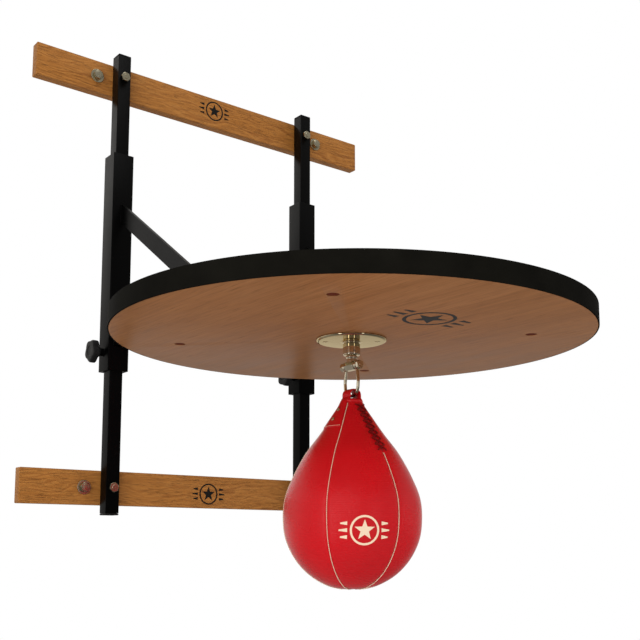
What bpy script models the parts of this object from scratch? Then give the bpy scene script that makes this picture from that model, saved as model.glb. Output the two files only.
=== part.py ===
"""Wall-mounted speed bag platform, in metres with +Z up.

The origin is the centre of the upper wall rail's back face. +X runs to the right along the wall and
+Y points into the wall, so the platform stands out towards -Y. Left and right are as seen by someone
who faces the wall.
"""

import math

import bmesh
import bpy
from mathutils import Matrix, Vector

MM = 0.001
GAP = 0.3 * MM  # clearance between solids that touch on the real object
ROUND_SIDES = 12  # facets round a small bolt or bore

# Wall frame: two wooden rails and two square posts
RAIL_LENGTH = 609.6 * MM
RAIL_HEIGHT = 50.0 * MM
RAIL_THICKNESS = 17.0 * MM
RAIL_EDGE = 1.5 * MM
RAIL_DROP = 628.1 * MM  # upper rail centre to lower rail centre
POST_X = 173.8 * MM
POST_WIDTH = 20.7 * MM
POST_WALL = 1.5 * MM
POST_TOP = 37.0 * MM
POST_BOTTOM = -668.0 * MM
PLUG_PLATE = 2.5 * MM
PLUG_DEPTH = 9.0 * MM
LAG_X = 209.5 * MM

# Carriage: sleeves, arms, braces and cross bars
SLEEVE_WIDTH = 32.5 * MM
SLEEVE_WALL = 2.0 * MM
SLEEVE_TOP = -125.0 * MM
SLEEVE_BOTTOM = -457.1 * MM
BUSH_LENGTH = 20.0 * MM
BUSH_INSET = 1.0 * MM
ARM_WIDTH = 16.0 * MM
ARM_END_Y = -568.0 * MM
BRACE_WIDTH = 24.4 * MM
BRACE_THICKNESS = 5.0 * MM
BRACE_TOP_Z = -218.4 * MM  # brace centre line where it meets the sleeve
BRACE_SLOPE = math.radians(34.7)
BAR_LENGTH = 400.0 * MM
BAR_WIDTH = 30.0 * MM
BAR_THICKNESS = 4.0 * MM

# Rebound board
BOARD_RADIUS = 304.8 * MM
BOARD_THICKNESS = 25.0 * MM
BOARD_X = -24.5 * MM
BOARD_Y = -399.7 * MM
BOARD_UNDER_Z = -451.2 * MM
RIM_THICKNESS = 1.5 * MM
RIM_EDGE = 0.7 * MM
BOARD_BOLT_X = 158.0 * MM
BOARD_BOLT_Y = 160.0 * MM

# Fasteners
BOLT_RADIUS = 4.0 * MM
HEX_ACROSS_FLATS = 13.0 * MM
NUT_HEIGHT = 5.0 * MM
CARRIAGE_HEAD_RADIUS = 9.0 * MM
CARRIAGE_HEAD_HEIGHT = 3.5 * MM
BOLT_STAND_OUT = 0.6 * MM  # thread that shows past the nut
LAG_HEAD_HEIGHT = 5.5 * MM
WASHER_RADIUS = 10.5 * MM
WASHER_THICKNESS = 1.5 * MM
BOARD_HEAD_RADIUS = 7.0 * MM
BOARD_HEAD_HEIGHT = 3.0 * MM

# Clamp screws and star knobs
CLAMP_Z = -429.5 * MM
BOSS_RADIUS = 5.75 * MM
BOSS_LENGTH = 6.0 * MM
KNOB_STAND_OFF = 12.5 * MM  # sleeve face to the knob's inner face
KNOB_THICKNESS = 10.0 * MM
KNOB_MEAN_RADIUS = 16.0 * MM
KNOB_LOBE = 1.2 * MM
KNOB_LOBES = 5
KNOB_POINTS = 30
KNOB_HUB_RADIUS = 7.5 * MM
KNOB_HUB_LENGTH = 5.5 * MM
KNOB_EDGE = 1.6 * MM
KNOB_FLOOR = 3.0 * MM

# Swivel, heights below the board's underside
FLANGE_RADIUS = 45.0 * MM
FLANGE_THICKNESS = 3.0 * MM
FLANGE_EDGE = 0.8 * MM
FLANGE_SCREW_CIRCLE = 33.0 * MM
FLANGE_SCREW_TURN = math.radians(-38.0)
FLANGE_SCREW_RADIUS = 2.0 * MM
FLANGE_SCREW_LENGTH = 18.0 * MM
FLANGE_SCREW_HEAD = [(0.0, 1.2), (2.4, 1.0), (4.0, 0.0)]  # radius and height in millimetres
HOUSING_OUTLINE = [
    (9.3, -3.6), (9.3, -5.6), (11.0, -6.6), (11.0, -20.3), (10.4, -20.9), (5.6, -20.9),
    (5.6, -17.0), (8.3, -17.0), (8.3, -3.6),
]
BEARING_OUTLINE = [(8.0, -11.8), (8.0, -16.7), (5.6, -16.7), (5.6, -11.8)]
STUD_OUTLINE = [
    (0.0, -6.2), (7.6, -6.2), (7.6, -11.5), (5.2, -11.5), (5.2, -21.6), (7.3, -21.6),
    (7.3, -24.4), (6.6, -25.2), (6.6, -32.0), (0.0, -32.0),
]
BARREL_DROP = 34.5 * MM
BARREL_ACROSS_FLATS = 11.5 * MM
BARREL_TURN = (math.pi / 2, math.pi / 6, 0)  # along Y with an edge at the bottom
BARREL_LENGTH = 17.8 * MM
PIN_RADIUS = 2.4 * MM
PIN_BORE_RADIUS = 2.7 * MM
PIN_ACROSS_FLATS = 10.0 * MM
PIN_HEAD_HEIGHT = 4.0 * MM

# Shackle
WIRE_RADIUS = 2.1 * MM
EYE_Y = 11.3 * MM
EYE_RADIUS = 6.0 * MM
EYE_LENGTH = 4.2 * MM
BOW_RADIUS = 12.6 * MM
BOW_DROP = 60.4 * MM  # board underside to the bow's centre of curvature
SHACKLE_LEG = [(11.3, -34.5), (11.5, -43.0), (12.5, -51.5)]  # y and height in millimetres

# Speed bag: radius against depth below the board's underside
BAG_OUTLINE = [
    (6.5, 76.8), (10.2, 77.5), (13.0, 80.5), (17.6, 88.3), (27.7, 103.5), (40.5, 122.4),
    (59.0, 147.6), (75.7, 179.0), (84.8, 204.0), (86.5, 229.0), (83.0, 253.5), (71.0, 278.0),
    (53.6, 296.4), (32.3, 308.7), (16.5, 312.8), (0.0, 314.0),
]
LEATHER = 2.2 * MM
THROAT_OUTLINE = [(6.5, -79.5), (11.0, -81.5)]  # the leather's edge turned in at the throat
LINING_TOP_DEPTH = 85.0 * MM
BLADDER_CLEARANCE = 0.6 * MM
BLADDER_WALL = 1.5 * MM
BLADDER_NECK_RADIUS = 4.0 * MM
BLADDER_NECK_DEPTH = 86.0 * MM
BLADDER_SHOULDER_DEPTH = 98.0 * MM
BLADDER_INSIDE_DEPTH = 100.0 * MM
STRAP_WIDTH = 14.0 * MM
STRAP_THICKNESS = 2.4 * MM
STRAP_ARCH_RADIUS = 7.4 * MM
STRAP_ARCH_DROP = 73.6 * MM
STRAP_FOOT = [(8.3, -75.2), (11.1, -76.1)]  # from the arch to the bag's shoulder
STRAP_LEG_TOP_DEPTH = 79.0 * MM
STRAP_END_DEPTH = 113.0 * MM
LACE_RADIUS = 1.1 * MM
LACE_LIFT = 0.9 * MM  # clear space between the lace and the leather
LACE_TOP_DEPTH = 84.5 * MM
LACE_BOTTOM_DEPTH = 147.0 * MM
LACE_HALF_WIDTH = 4.4 * MM
LACE_CROSSINGS = 11

# Worked out from the dimensions above
POST_Y = -(RAIL_THICKNESS + GAP + POST_WIDTH / 2)
POST_FRONT_Y = POST_Y - POST_WIDTH / 2
SLEEVE_FRONT_Y = POST_Y - SLEEVE_WIDTH / 2
BOARD_TOP_Z = BOARD_UNDER_Z + BOARD_THICKNESS
BAR_Z = BOARD_TOP_Z + GAP + BAR_THICKNESS / 2
ARM_Z = BAR_Z + BAR_THICKNESS / 2 + GAP + ARM_WIDTH / 2
BOARD_AXIS = Vector((BOARD_X, BOARD_Y, BOARD_UNDER_Z))
SIDES = {"left": -1, "right": 1}
LEVELS = {"upper": 0.0, "lower": -RAIL_DROP}

# Turns that point a piece's own +Z another way
TO_FRONT = (math.pi / 2, 0, 0)
TO_LEFT = (0, -math.pi / 2, 0)
TO_DOWN = (math.pi, 0, 0)
TO_UP = (0, 0, 0)


def clear_scene():
    for obj in list(bpy.data.objects):
        bpy.data.objects.remove(obj, do_unlink=True)


def make_collection(name, hidden):
    collection = bpy.data.collections.new(name)
    bpy.context.scene.collection.children.link(collection)
    collection.hide_render = hidden
    return collection


def make_material(name, colour, roughness, metallic=0.0):
    material = bpy.data.materials.new(name)
    material.use_nodes = True
    shader = material.node_tree.nodes["Principled BSDF"]
    shader.inputs["Base Color"].default_value = (*colour, 1.0)
    shader.inputs["Roughness"].default_value = roughness
    shader.inputs["Metallic"].default_value = metallic
    return material


def add_axis(name, at, parent=None):
    """An empty on a joint's axis, for the pieces that move about it."""
    empty = bpy.data.objects.new(name, None)
    parts.objects.link(empty)
    empty.location = at
    empty.empty_display_size = 0.03
    if parent:
        hang(empty, parent)
    bpy.context.view_layer.update()
    return empty


def hang(obj, parent):
    """Parent an object to an axis empty and leave it where it is."""
    obj.parent = parent
    obj.matrix_parent_inverse = parent.matrix_world.inverted()


def add_object(name, mesh, look, at=(0, 0, 0), turn=TO_UP, parent=None):
    mesh.shade_smooth()
    mesh.set_sharp_from_angle(angle=math.radians(35))
    obj = bpy.data.objects.new(name, mesh)
    parts.objects.link(obj)
    mesh.materials.append(look)
    obj.location = at
    obj.rotation_euler = turn
    if parent:
        hang(obj, parent)
    return obj


def mesh_from(bm, name):
    bmesh.ops.recalc_face_normals(bm, faces=bm.faces)
    mesh = bpy.data.meshes.new(name)
    bm.to_mesh(mesh)
    bm.free()
    return mesh


def block_mesh(name, size, corner=0.0):
    """A box; corner rounds its four edges along Z."""
    bm = bmesh.new()
    bmesh.ops.create_cube(bm, size=1.0)
    bmesh.ops.scale(bm, vec=size, verts=bm.verts)
    if corner:
        upright = [e for e in bm.edges if abs(e.verts[0].co.z - e.verts[1].co.z) > size[2] / 2]
        bmesh.ops.bevel(bm, geom=upright, offset=corner, segments=2, profile=0.5, affect="EDGES")
    return mesh_from(bm, name)


def prism_mesh(name, radius, low, high, sides):
    """A cylinder along Z, or a hexagon when sides is 6, from low to high."""
    bm = bmesh.new()
    bmesh.ops.create_cone(
        bm, cap_ends=True, segments=sides, radius1=radius, radius2=radius, depth=high - low
    )
    bmesh.ops.translate(bm, vec=(0, 0, (high + low) / 2), verts=bm.verts)
    return mesh_from(bm, name)


def hexagon_radius(across_flats):
    return across_flats / math.sqrt(3)


def make_tool(name, mesh, at, turn):
    """An operand of a Boolean, kept out of the model."""
    tool = bpy.data.objects.new(name, mesh)
    cutters.objects.link(tool)
    tool.location = at
    tool.rotation_euler = turn
    tool.hide_render = True
    tool.display_type = "WIRE"
    return tool


def boolean(obj, tool, operation):
    modifier = obj.modifiers.new(operation.lower(), "BOOLEAN")
    modifier.operation = operation
    modifier.solver = "EXACT"
    modifier.object = tool


def bore(obj, radius, low, high, at, turn=TO_UP, sides=ROUND_SIDES):
    mesh = prism_mesh("bore", radius, low, high, sides)
    boolean(obj, make_tool(f"{obj.name}_bore", mesh, at, turn), "DIFFERENCE")


def join_prism(obj, radius, low, high, at, turn=TO_UP, sides=ROUND_SIDES):
    mesh = prism_mesh("join", radius, low, high, sides)
    boolean(obj, make_tool(f"{obj.name}_join", mesh, at, turn), "UNION")


def soften(obj, width, segments=1):
    bevel = obj.modifiers.new("bevel", "BEVEL")
    bevel.width = width
    bevel.segments = segments
    bevel.limit_method = "ANGLE"


def turned(name, profile, look, at, turn=TO_UP, parent=None, steps=ROUND_SIDES, closed=False):
    """A profile of (radius, height) points turned about Z. Its outer side runs from top to bottom."""
    mesh = bpy.data.meshes.new(name)
    points = [(radius, 0.0, height) for radius, height in profile]
    edges = [(i, i + 1) for i in range(len(points) - 1)]
    if closed:
        edges.append((len(points) - 1, 0))
    mesh.from_pydata(points, edges, [])
    obj = add_object(name, mesh, look, at, turn, parent)
    screw = obj.modifiers.new("screw", "SCREW")
    screw.steps = steps
    screw.render_steps = steps
    screw.use_merge_vertices = True
    screw.merge_threshold = 0.00001
    screw.use_smooth_shade = True
    return obj


def square_tube(name, width, wall, length, corner, look, at, turn=TO_UP, parent=None):
    """A square tube along its own Z, open at both ends."""
    outer = block_mesh(name, (width, width, length), corner)
    tube = add_object(name, outer, look, at, turn, parent)
    inside = width - 2 * wall
    hollow = block_mesh("hollow", (inside, inside, length * 1.2))
    boolean(tube, make_tool(f"{name}_hollow", hollow, at, turn), "DIFFERENCE")
    return tube


def hex_bolt(name, across_flats, head, shank_radius, shank, look, at, turn, parent=None):
    """A hexagon head standing on z = 0 with its shank below."""
    mesh = prism_mesh(name, hexagon_radius(across_flats), 0.0, head, 6)
    bolt = add_object(name, mesh, look, at, turn, parent)
    join_prism(bolt, shank_radius, -shank, head / 2, at, turn)
    return bolt


def hex_nut(name, across_flats, height, hole_radius, look, at, turn, parent=None):
    mesh = prism_mesh(name, hexagon_radius(across_flats), 0.0, height, 6)
    nut = add_object(name, mesh, look, at, turn, parent)
    bore(nut, hole_radius, -height, 2 * height, at, turn)
    return nut


def smooth_curve(points, steps):
    """Points on a centripetal Catmull-Rom curve through the given (x, y) points."""
    pts = [Vector(p) for p in points]
    pts = [2 * pts[0] - pts[1], *pts, 2 * pts[-1] - pts[-2]]
    curve = []
    for p0, p1, p2, p3 in zip(pts, pts[1:], pts[2:], pts[3:]):
        t1 = math.sqrt((p1 - p0).length)
        t2 = t1 + math.sqrt((p2 - p1).length)
        t3 = t2 + math.sqrt((p3 - p2).length)
        for i in range(steps):
            t = t1 + (t2 - t1) * i / steps
            a1 = p0.lerp(p1, t / t1)
            a2 = p1.lerp(p2, (t - t1) / (t2 - t1))
            a3 = p2.lerp(p3, (t - t2) / (t3 - t2))
            b1 = a1.lerp(a2, t / t2)
            b2 = a2.lerp(a3, (t - t1) / (t3 - t1))
            curve.append(b1.lerp(b2, (t - t1) / (t2 - t1)))
    curve.append(pts[-2])
    return curve


def in_metres(outline):
    return [(first * MM, second * MM) for first, second in outline]


def bag_profile(steps):
    """The bag's outline as (radius, height) with height counted from the board's underside."""
    return smooth_curve([(radius * MM, -depth * MM) for radius, depth in BAG_OUTLINE], steps)


def offset_profile(profile, distance):
    """The profile moved outward by distance; a negative distance moves it inward."""
    moved = []
    for i, point in enumerate(profile):
        before = profile[max(i - 1, 0)]
        after = profile[min(i + 1, len(profile) - 1)]
        along = (after - before).normalized()
        if point.x < MM:
            along = Vector((-1.0, 0.0))
        moved.append(point + distance * Vector((-along.y, along.x)))
    return moved


def bag_radius(height):
    """Radius of the bag's outer face at a height below the board's underside."""
    profile = bag_profile(4)
    for upper, lower in zip(profile, profile[1:]):
        if upper.y >= height >= lower.y:
            part = (upper.y - height) / (upper.y - lower.y)
            return upper.x + part * (lower.x - upper.x)
    return 0.0


def build_rails():
    for level, z in LEVELS.items():
        size = (RAIL_LENGTH, RAIL_THICKNESS, RAIL_HEIGHT)
        name = f"{level}_wall_rail"
        at = Vector((0, -RAIL_THICKNESS / 2, z))
        rail = add_object(name, block_mesh(name, size), rail_wood, at)
        soften(rail, RAIL_EDGE)
        reach = RAIL_THICKNESS
        for sign in SIDES.values():
            bolt_at = (sign * POST_X, at.y, z)
            bore(rail, BOLT_RADIUS + GAP, -reach, reach, bolt_at, TO_FRONT)
            recess = CARRIAGE_HEAD_RADIUS + 2 * GAP
            floor = CARRIAGE_HEAD_HEIGHT + 1.0 * MM - RAIL_THICKNESS / 2
            bore(rail, recess, -reach, floor, bolt_at, TO_FRONT)
            bore(rail, BOLT_RADIUS + GAP, -reach, reach, (sign * LAG_X, at.y, z), TO_FRONT)


def build_posts():
    plate = PLUG_PLATE + GAP
    length = POST_TOP - POST_BOTTOM - 2 * plate
    middle = (POST_TOP + POST_BOTTOM) / 2
    for side, sign in SIDES.items():
        at = (sign * POST_X, POST_Y, middle)
        post = square_tube(f"{side}_post", POST_WIDTH, POST_WALL, length, 2 * MM, powder_coat, at)
        for z in LEVELS.values():
            hole_at = (sign * POST_X, POST_Y, z)
            bore(post, BOLT_RADIUS + GAP, -POST_WIDTH, POST_WIDTH, hole_at, TO_FRONT)
        build_plug(f"{side}_post_top_plug", (sign * POST_X, POST_Y, POST_TOP), TO_UP)
        build_plug(f"{side}_post_bottom_plug", (sign * POST_X, POST_Y, POST_BOTTOM), TO_DOWN)


def build_plug(name, at, turn):
    """A plastic end plug: a plate with its outer face at z = 0, and a stem into the tube."""
    inner = POST_WIDTH - 2 * POST_WALL - 2 * GAP
    plate = block_mesh(name, (POST_WIDTH, POST_WIDTH, PLUG_PLATE), 2 * MM)
    plate.transform(Matrix.Translation((0, 0, -PLUG_PLATE / 2)))
    plug = add_object(name, plate, black_plastic, at, turn)
    stem = block_mesh("stem", (inner, inner, PLUG_DEPTH))
    stem.transform(Matrix.Translation((0, 0, -PLUG_DEPTH / 2 - PLUG_PLATE / 2)))
    boolean(plug, make_tool(f"{name}_stem", stem, at, turn), "UNION")


def build_frame_fasteners():
    """Carriage bolts with nuts hold the posts; lag screws with washers hold the rails to the wall."""
    nut_face = POST_FRONT_Y - GAP
    for level, z in LEVELS.items():
        for side, sign in SIDES.items():
            where = f"{level}_{side}"
            head_back = -1.0 * MM
            tip = -(nut_face - NUT_HEIGHT - BOLT_STAND_OUT)
            crown = CARRIAGE_HEAD_HEIGHT
            profile = [
                (0.0, tip), (BOLT_RADIUS - GAP, tip), (BOLT_RADIUS, tip - GAP),
                (BOLT_RADIUS, -head_back + crown), (CARRIAGE_HEAD_RADIUS, -head_back + crown),
                (0.8 * CARRIAGE_HEAD_RADIUS, -head_back + 0.3 * crown), (0.0, -head_back),
            ]
            turned(f"{where}_post_bolt", profile, zinc, (sign * POST_X, 0, z), TO_FRONT)
            hex_nut(
                f"{where}_post_nut", HEX_ACROSS_FLATS, NUT_HEIGHT, BOLT_RADIUS + GAP, zinc,
                (sign * POST_X, nut_face, z), TO_FRONT,
            )
            washer_top = WASHER_THICKNESS
            hole = BOLT_RADIUS + GAP
            ring = [
                (WASHER_RADIUS, washer_top), (WASHER_RADIUS, 0.0), (hole, 0.0), (hole, washer_top)
            ]
            washer_at = (sign * LAG_X, -RAIL_THICKNESS - GAP, z)
            turned(f"{where}_lag_washer", ring, zinc, washer_at, TO_FRONT, steps=20, closed=True)
            head_y = washer_at[1] - WASHER_THICKNESS - GAP
            shank = -head_y - 0.5 * MM
            hex_bolt(
                f"{where}_lag_screw", HEX_ACROSS_FLATS, LAG_HEAD_HEIGHT, BOLT_RADIUS, shank, zinc,
                (sign * LAG_X, head_y, z), TO_FRONT,
            )


def build_sleeves(carriage):
    length = SLEEVE_TOP - SLEEVE_BOTTOM
    middle = (SLEEVE_TOP + SLEEVE_BOTTOM) / 2
    bush_outside = SLEEVE_WIDTH - 2 * SLEEVE_WALL - 2 * GAP
    bush_wall = (bush_outside - POST_WIDTH) / 2 - GAP
    bush_reach = BUSH_INSET + BUSH_LENGTH / 2
    bush_heights = {"upper": SLEEVE_TOP - bush_reach, "lower": SLEEVE_BOTTOM + bush_reach}
    for side, sign in SIDES.items():
        x = sign * POST_X
        sleeve = square_tube(
            f"{side}_sleeve", SLEEVE_WIDTH, SLEEVE_WALL, length, 2.5 * MM, powder_coat,
            (x, POST_Y, middle), parent=carriage,
        )
        face_at = (x - SLEEVE_WIDTH / 2, POST_Y, CLAMP_Z)
        join_prism(sleeve, BOSS_RADIUS, -SLEEVE_WALL / 2, BOSS_LENGTH, face_at, TO_LEFT)
        bore(sleeve, BOLT_RADIUS + GAP, -2 * SLEEVE_WALL, 2 * BOSS_LENGTH, face_at, TO_LEFT)
        for level, z in bush_heights.items():
            square_tube(
                f"{side}_{level}_guide_bush", bush_outside, bush_wall, BUSH_LENGTH, 1.0 * MM,
                black_plastic, (x, POST_Y, z), parent=carriage,
            )


def build_arms(carriage):
    """Arms over the board, braces up to the sleeves, and cross bars that the board bolts to."""
    start = SLEEVE_FRONT_Y - GAP
    length = start - ARM_END_Y
    brace_start = Vector((0, SLEEVE_FRONT_Y - GAP, BRACE_TOP_Z))
    arm_top = ARM_Z + ARM_WIDTH / 2 + GAP
    low_corner = BRACE_WIDTH / 2 / math.cos(BRACE_SLOPE)
    brace_reach = (BRACE_TOP_Z - arm_top + low_corner) / math.tan(BRACE_SLOPE)
    for side, sign in SIDES.items():
        x = sign * POST_X
        middle = (x, start - length / 2, ARM_Z)
        square_tube(
            f"{side}_arm", ARM_WIDTH, POST_WALL, length, 2 * MM, powder_coat, middle, TO_FRONT,
            carriage,
        )
        build_brace(f"{side}_brace", x, brace_start, brace_reach, arm_top, carriage)
    for place, sign in {"front": -1, "rear": 1}.items():
        name = f"{place}_cross_bar"
        bar_at = Vector((0, BOARD_Y + sign * BOARD_BOLT_Y, BAR_Z))
        bar = add_object(
            name, block_mesh(name, (BAR_LENGTH, BAR_WIDTH, BAR_THICKNESS)), powder_coat, bar_at,
            parent=carriage,
        )
        for x in (BOARD_X - BOARD_BOLT_X, BOARD_X + BOARD_BOLT_X):
            hole_at = (x, bar_at.y, bar_at.z)
            bore(bar, BOLT_RADIUS + GAP, -BAR_THICKNESS, BAR_THICKNESS, hole_at)


def build_brace(name, x, start, reach, floor, carriage):
    """A flat bar from the sleeve down to the arm, mitred against both."""
    slope = Matrix.Rotation(BRACE_SLOPE, 4, "X")
    mesh = block_mesh(name, (BRACE_THICKNESS, 2 * reach, BRACE_WIDTH))
    mesh.transform(Matrix.Translation((0, -reach / 2, 0)))
    mesh.transform(slope)
    brace = add_object(name, mesh, powder_coat, (x, start.y, start.z), parent=carriage)
    side = 0.5
    behind = block_mesh("mitre", (side, side, side))
    behind_at = (x, start.y + side / 2, start.z)
    boolean(brace, make_tool(f"{name}_sleeve_mitre", behind, behind_at, TO_UP), "DIFFERENCE")
    below = block_mesh("mitre", (side, 2 * side, side))
    below_at = (x, start.y, floor - side / 2)
    boolean(brace, make_tool(f"{name}_arm_mitre", below, below_at, TO_UP), "DIFFERENCE")


def build_board(carriage):
    wood_radius = BOARD_RADIUS - RIM_THICKNESS - GAP
    profile = [(0.0, BOARD_THICKNESS), (wood_radius, BOARD_THICKNESS), (wood_radius, 0.0), (0.0, 0.0)]
    board = turned("rebound_board", profile, board_wood, BOARD_AXIS, parent=carriage, steps=64)
    inner = BOARD_RADIUS - RIM_THICKNESS
    rounded = BOARD_RADIUS - RIM_EDGE
    band = [
        (rounded, BOARD_THICKNESS), (BOARD_RADIUS, BOARD_THICKNESS - RIM_EDGE),
        (BOARD_RADIUS, RIM_EDGE), (rounded, 0.0), (inner, 0.0), (inner, BOARD_THICKNESS),
    ]
    turned("rim_band", band, rim_black, BOARD_AXIS, parent=carriage, steps=64, closed=True)
    stack = BOARD_THICKNESS + GAP + BAR_THICKNESS - GAP
    bolt = [
        (0.0, stack), (BOLT_RADIUS, stack), (BOLT_RADIUS, BOARD_HEAD_HEIGHT),
        (BOARD_HEAD_RADIUS, BOARD_HEAD_HEIGHT), (BOARD_HEAD_RADIUS, GAP), (0.0, GAP),
    ]
    for place, sign_y in {"front": -1, "rear": 1}.items():
        for side, sign_x in SIDES.items():
            at = BOARD_AXIS + Vector((sign_x * BOARD_BOLT_X, sign_y * BOARD_BOLT_Y, 0))
            bore(board, BOLT_RADIUS + GAP, -0.01, 0.04, at)
            bore(board, BOARD_HEAD_RADIUS + GAP, -0.01, BOARD_HEAD_HEIGHT + GAP, at)
            turned(f"{place}_{side}_board_bolt", bolt, brown_paint, at, parent=carriage)
    return board


def build_clamp(side, sign, carriage):
    """A screw through the sleeve's boss that presses on the post, and the star knob that turns it."""
    sleeve_face = sign * POST_X - SLEEVE_WIDTH / 2
    axis_at = Vector((sleeve_face, POST_Y, CLAMP_Z))
    axis = add_axis(f"{side}_clamp_axis", axis_at, carriage)
    inner_end = -((SLEEVE_WIDTH - POST_WIDTH) / 2 - GAP)
    outer_end = KNOB_STAND_OFF + KNOB_THICKNESS - KNOB_FLOOR
    screw = [
        (0.0, outer_end), (BOLT_RADIUS, outer_end), (BOLT_RADIUS, inner_end + MM),
        (BOLT_RADIUS - MM, inner_end), (0.0, inner_end),
    ]
    turned(f"{side}_clamp_screw", screw, zinc, axis_at, TO_LEFT, axis)

    bm = bmesh.new()
    bmesh.ops.create_circle(bm, cap_ends=True, segments=KNOB_POINTS, radius=1.0)
    for vert in bm.verts:
        turn = math.atan2(vert.co.y, vert.co.x)
        radius = KNOB_MEAN_RADIUS + KNOB_LOBE * math.cos(KNOB_LOBES * turn)
        vert.co = Vector((radius * math.cos(turn), radius * math.sin(turn), KNOB_STAND_OFF))
    extruded = bmesh.ops.extrude_face_region(bm, geom=bm.faces[:])["geom"]
    top = [item for item in extruded if isinstance(item, bmesh.types.BMVert)]
    bmesh.ops.translate(bm, vec=(0, 0, KNOB_THICKNESS), verts=top)
    name = f"{side}_clamp_knob"
    knob = add_object(name, mesh_from(bm, name), black_plastic, axis_at, TO_LEFT, axis)
    soften(knob, KNOB_EDGE)
    hub_start = KNOB_STAND_OFF - KNOB_HUB_LENGTH
    join_prism(knob, KNOB_HUB_RADIUS, hub_start, KNOB_STAND_OFF + MM, axis_at, TO_LEFT)
    bore(knob, BOLT_RADIUS + GAP, 0.0, outer_end + GAP, axis_at, TO_LEFT)


def build_swivel_housing(carriage, board):
    """Flange, housing and bearing stay with the board."""
    under = -GAP
    face = under - FLANGE_THICKNESS
    flange_profile = [
        (0.0, under), (FLANGE_RADIUS, under), (FLANGE_RADIUS, face + FLANGE_EDGE),
        (FLANGE_RADIUS - FLANGE_EDGE, face), (0.0, face),
    ]
    flange = turned("swivel_flange", flange_profile, chrome, BOARD_AXIS, parent=carriage, steps=40)
    head = face - GAP
    screw = in_metres(FLANGE_SCREW_HEAD) + [
        (FLANGE_SCREW_RADIUS, 0.0), (FLANGE_SCREW_RADIUS, -0.8 * FLANGE_SCREW_LENGTH),
        (0.0, -FLANGE_SCREW_LENGTH),
    ]
    for number in (1, 2):
        turn = FLANGE_SCREW_TURN + math.pi * (number - 1)
        spot = BOARD_AXIS + FLANGE_SCREW_CIRCLE * Vector((math.cos(turn), math.sin(turn), 0))
        hole = FLANGE_SCREW_RADIUS + GAP
        bore(flange, hole, -0.01, 0.01, spot)
        bore(board, hole, -0.01, FLANGE_SCREW_LENGTH, spot)
        at = spot + Vector((0, 0, head))
        turned(f"flange_screw_{number}", screw, zinc, at, TO_DOWN, carriage)
    for name, outline, look in (
        ("swivel_housing", HOUSING_OUTLINE, chrome), ("swivel_bearing", BEARING_OUTLINE, zinc)
    ):
        profile = in_metres(outline)
        turned(name, profile, look, BOARD_AXIS, parent=carriage, steps=20, closed=True)


def build_swivel(axis):
    """The stud that spins in the bearing, with a barrel across its foot and the bolt through it."""
    stud = turned(
        "swivel_stud", in_metres(STUD_OUTLINE), chrome, BOARD_AXIS, parent=axis, steps=16
    )
    pin_at = BOARD_AXIS - Vector((0, 0, BARREL_DROP))
    half = BARREL_LENGTH / 2
    corner = hexagon_radius(BARREL_ACROSS_FLATS)
    join_prism(stud, corner, -half, half, pin_at, BARREL_TURN, sides=6)
    bore(stud, PIN_BORE_RADIUS, -0.02, 0.02, pin_at, TO_FRONT)
    eye_face = EYE_Y + EYE_LENGTH / 2 + GAP
    head_at = pin_at + Vector((0, eye_face, 0))
    to_back = (-math.pi / 2, 0, 0)
    reach = 2 * eye_face + PIN_HEAD_HEIGHT + 0.5 * MM
    hex_bolt(
        "swivel_cross_bolt", PIN_ACROSS_FLATS, PIN_HEAD_HEIGHT, PIN_RADIUS, reach, chrome,
        head_at, to_back, axis,
    )
    nut_at = pin_at - Vector((0, eye_face, 0))
    hex_nut(
        "swivel_cross_nut", PIN_ACROSS_FLATS, PIN_HEAD_HEIGHT, PIN_BORE_RADIUS, chrome,
        nut_at, TO_FRONT, axis,
    )


def build_shackle(axis):
    """A wire loop in the YZ plane with an eye on each leg."""
    right = in_metres(SHACKLE_LEG)
    arc = [math.radians(a) for a in range(0, -181, -20)]
    bow = [(BOW_RADIUS * math.cos(a), -BOW_DROP + BOW_RADIUS * math.sin(a)) for a in arc]
    left = [(-y, z) for y, z in reversed(right)]
    path = right + bow + left

    curve = bpy.data.curves.new("shackle_wire", "CURVE")
    curve.dimensions = "3D"
    spline = curve.splines.new("POLY")
    spline.points.add(len(path) - 1)
    for point, (y, z) in zip(spline.points, path):
        point.co = (0.0, y, z, 1.0)
    curve.bevel_depth = WIRE_RADIUS
    curve.bevel_resolution = 2
    curve.use_fill_caps = True
    shackle = as_mesh_object("shackle", curve, chrome, BOARD_AXIS, axis)
    for y in (-EYE_Y, EYE_Y):
        eye_at = BOARD_AXIS + Vector((0, y, -BARREL_DROP))
        half = EYE_LENGTH / 2
        join_prism(shackle, EYE_RADIUS, -half, half, eye_at, TO_FRONT)
    pin_at = BOARD_AXIS - Vector((0, 0, BARREL_DROP))
    bore(shackle, PIN_BORE_RADIUS, -0.02, 0.02, pin_at, TO_FRONT)


def as_mesh_object(name, curve, look, at, parent):
    """A curve turned into one closed mesh, so that it can be cut and joined."""
    wire = bpy.data.objects.new(f"{name}_wire", curve)
    cutters.objects.link(wire)
    bpy.context.view_layer.update()
    evaluated = wire.evaluated_get(bpy.context.evaluated_depsgraph_get())
    mesh = bpy.data.meshes.new_from_object(evaluated)
    bpy.data.objects.remove(wire, do_unlink=True)
    bm = bmesh.new()
    bm.from_mesh(mesh)
    bmesh.ops.remove_doubles(bm, verts=bm.verts, dist=0.00001)
    bmesh.ops.recalc_face_normals(bm, faces=bm.faces)
    bm.to_mesh(mesh)
    bm.free()
    return add_object(name, mesh, look, at, parent=parent)


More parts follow.
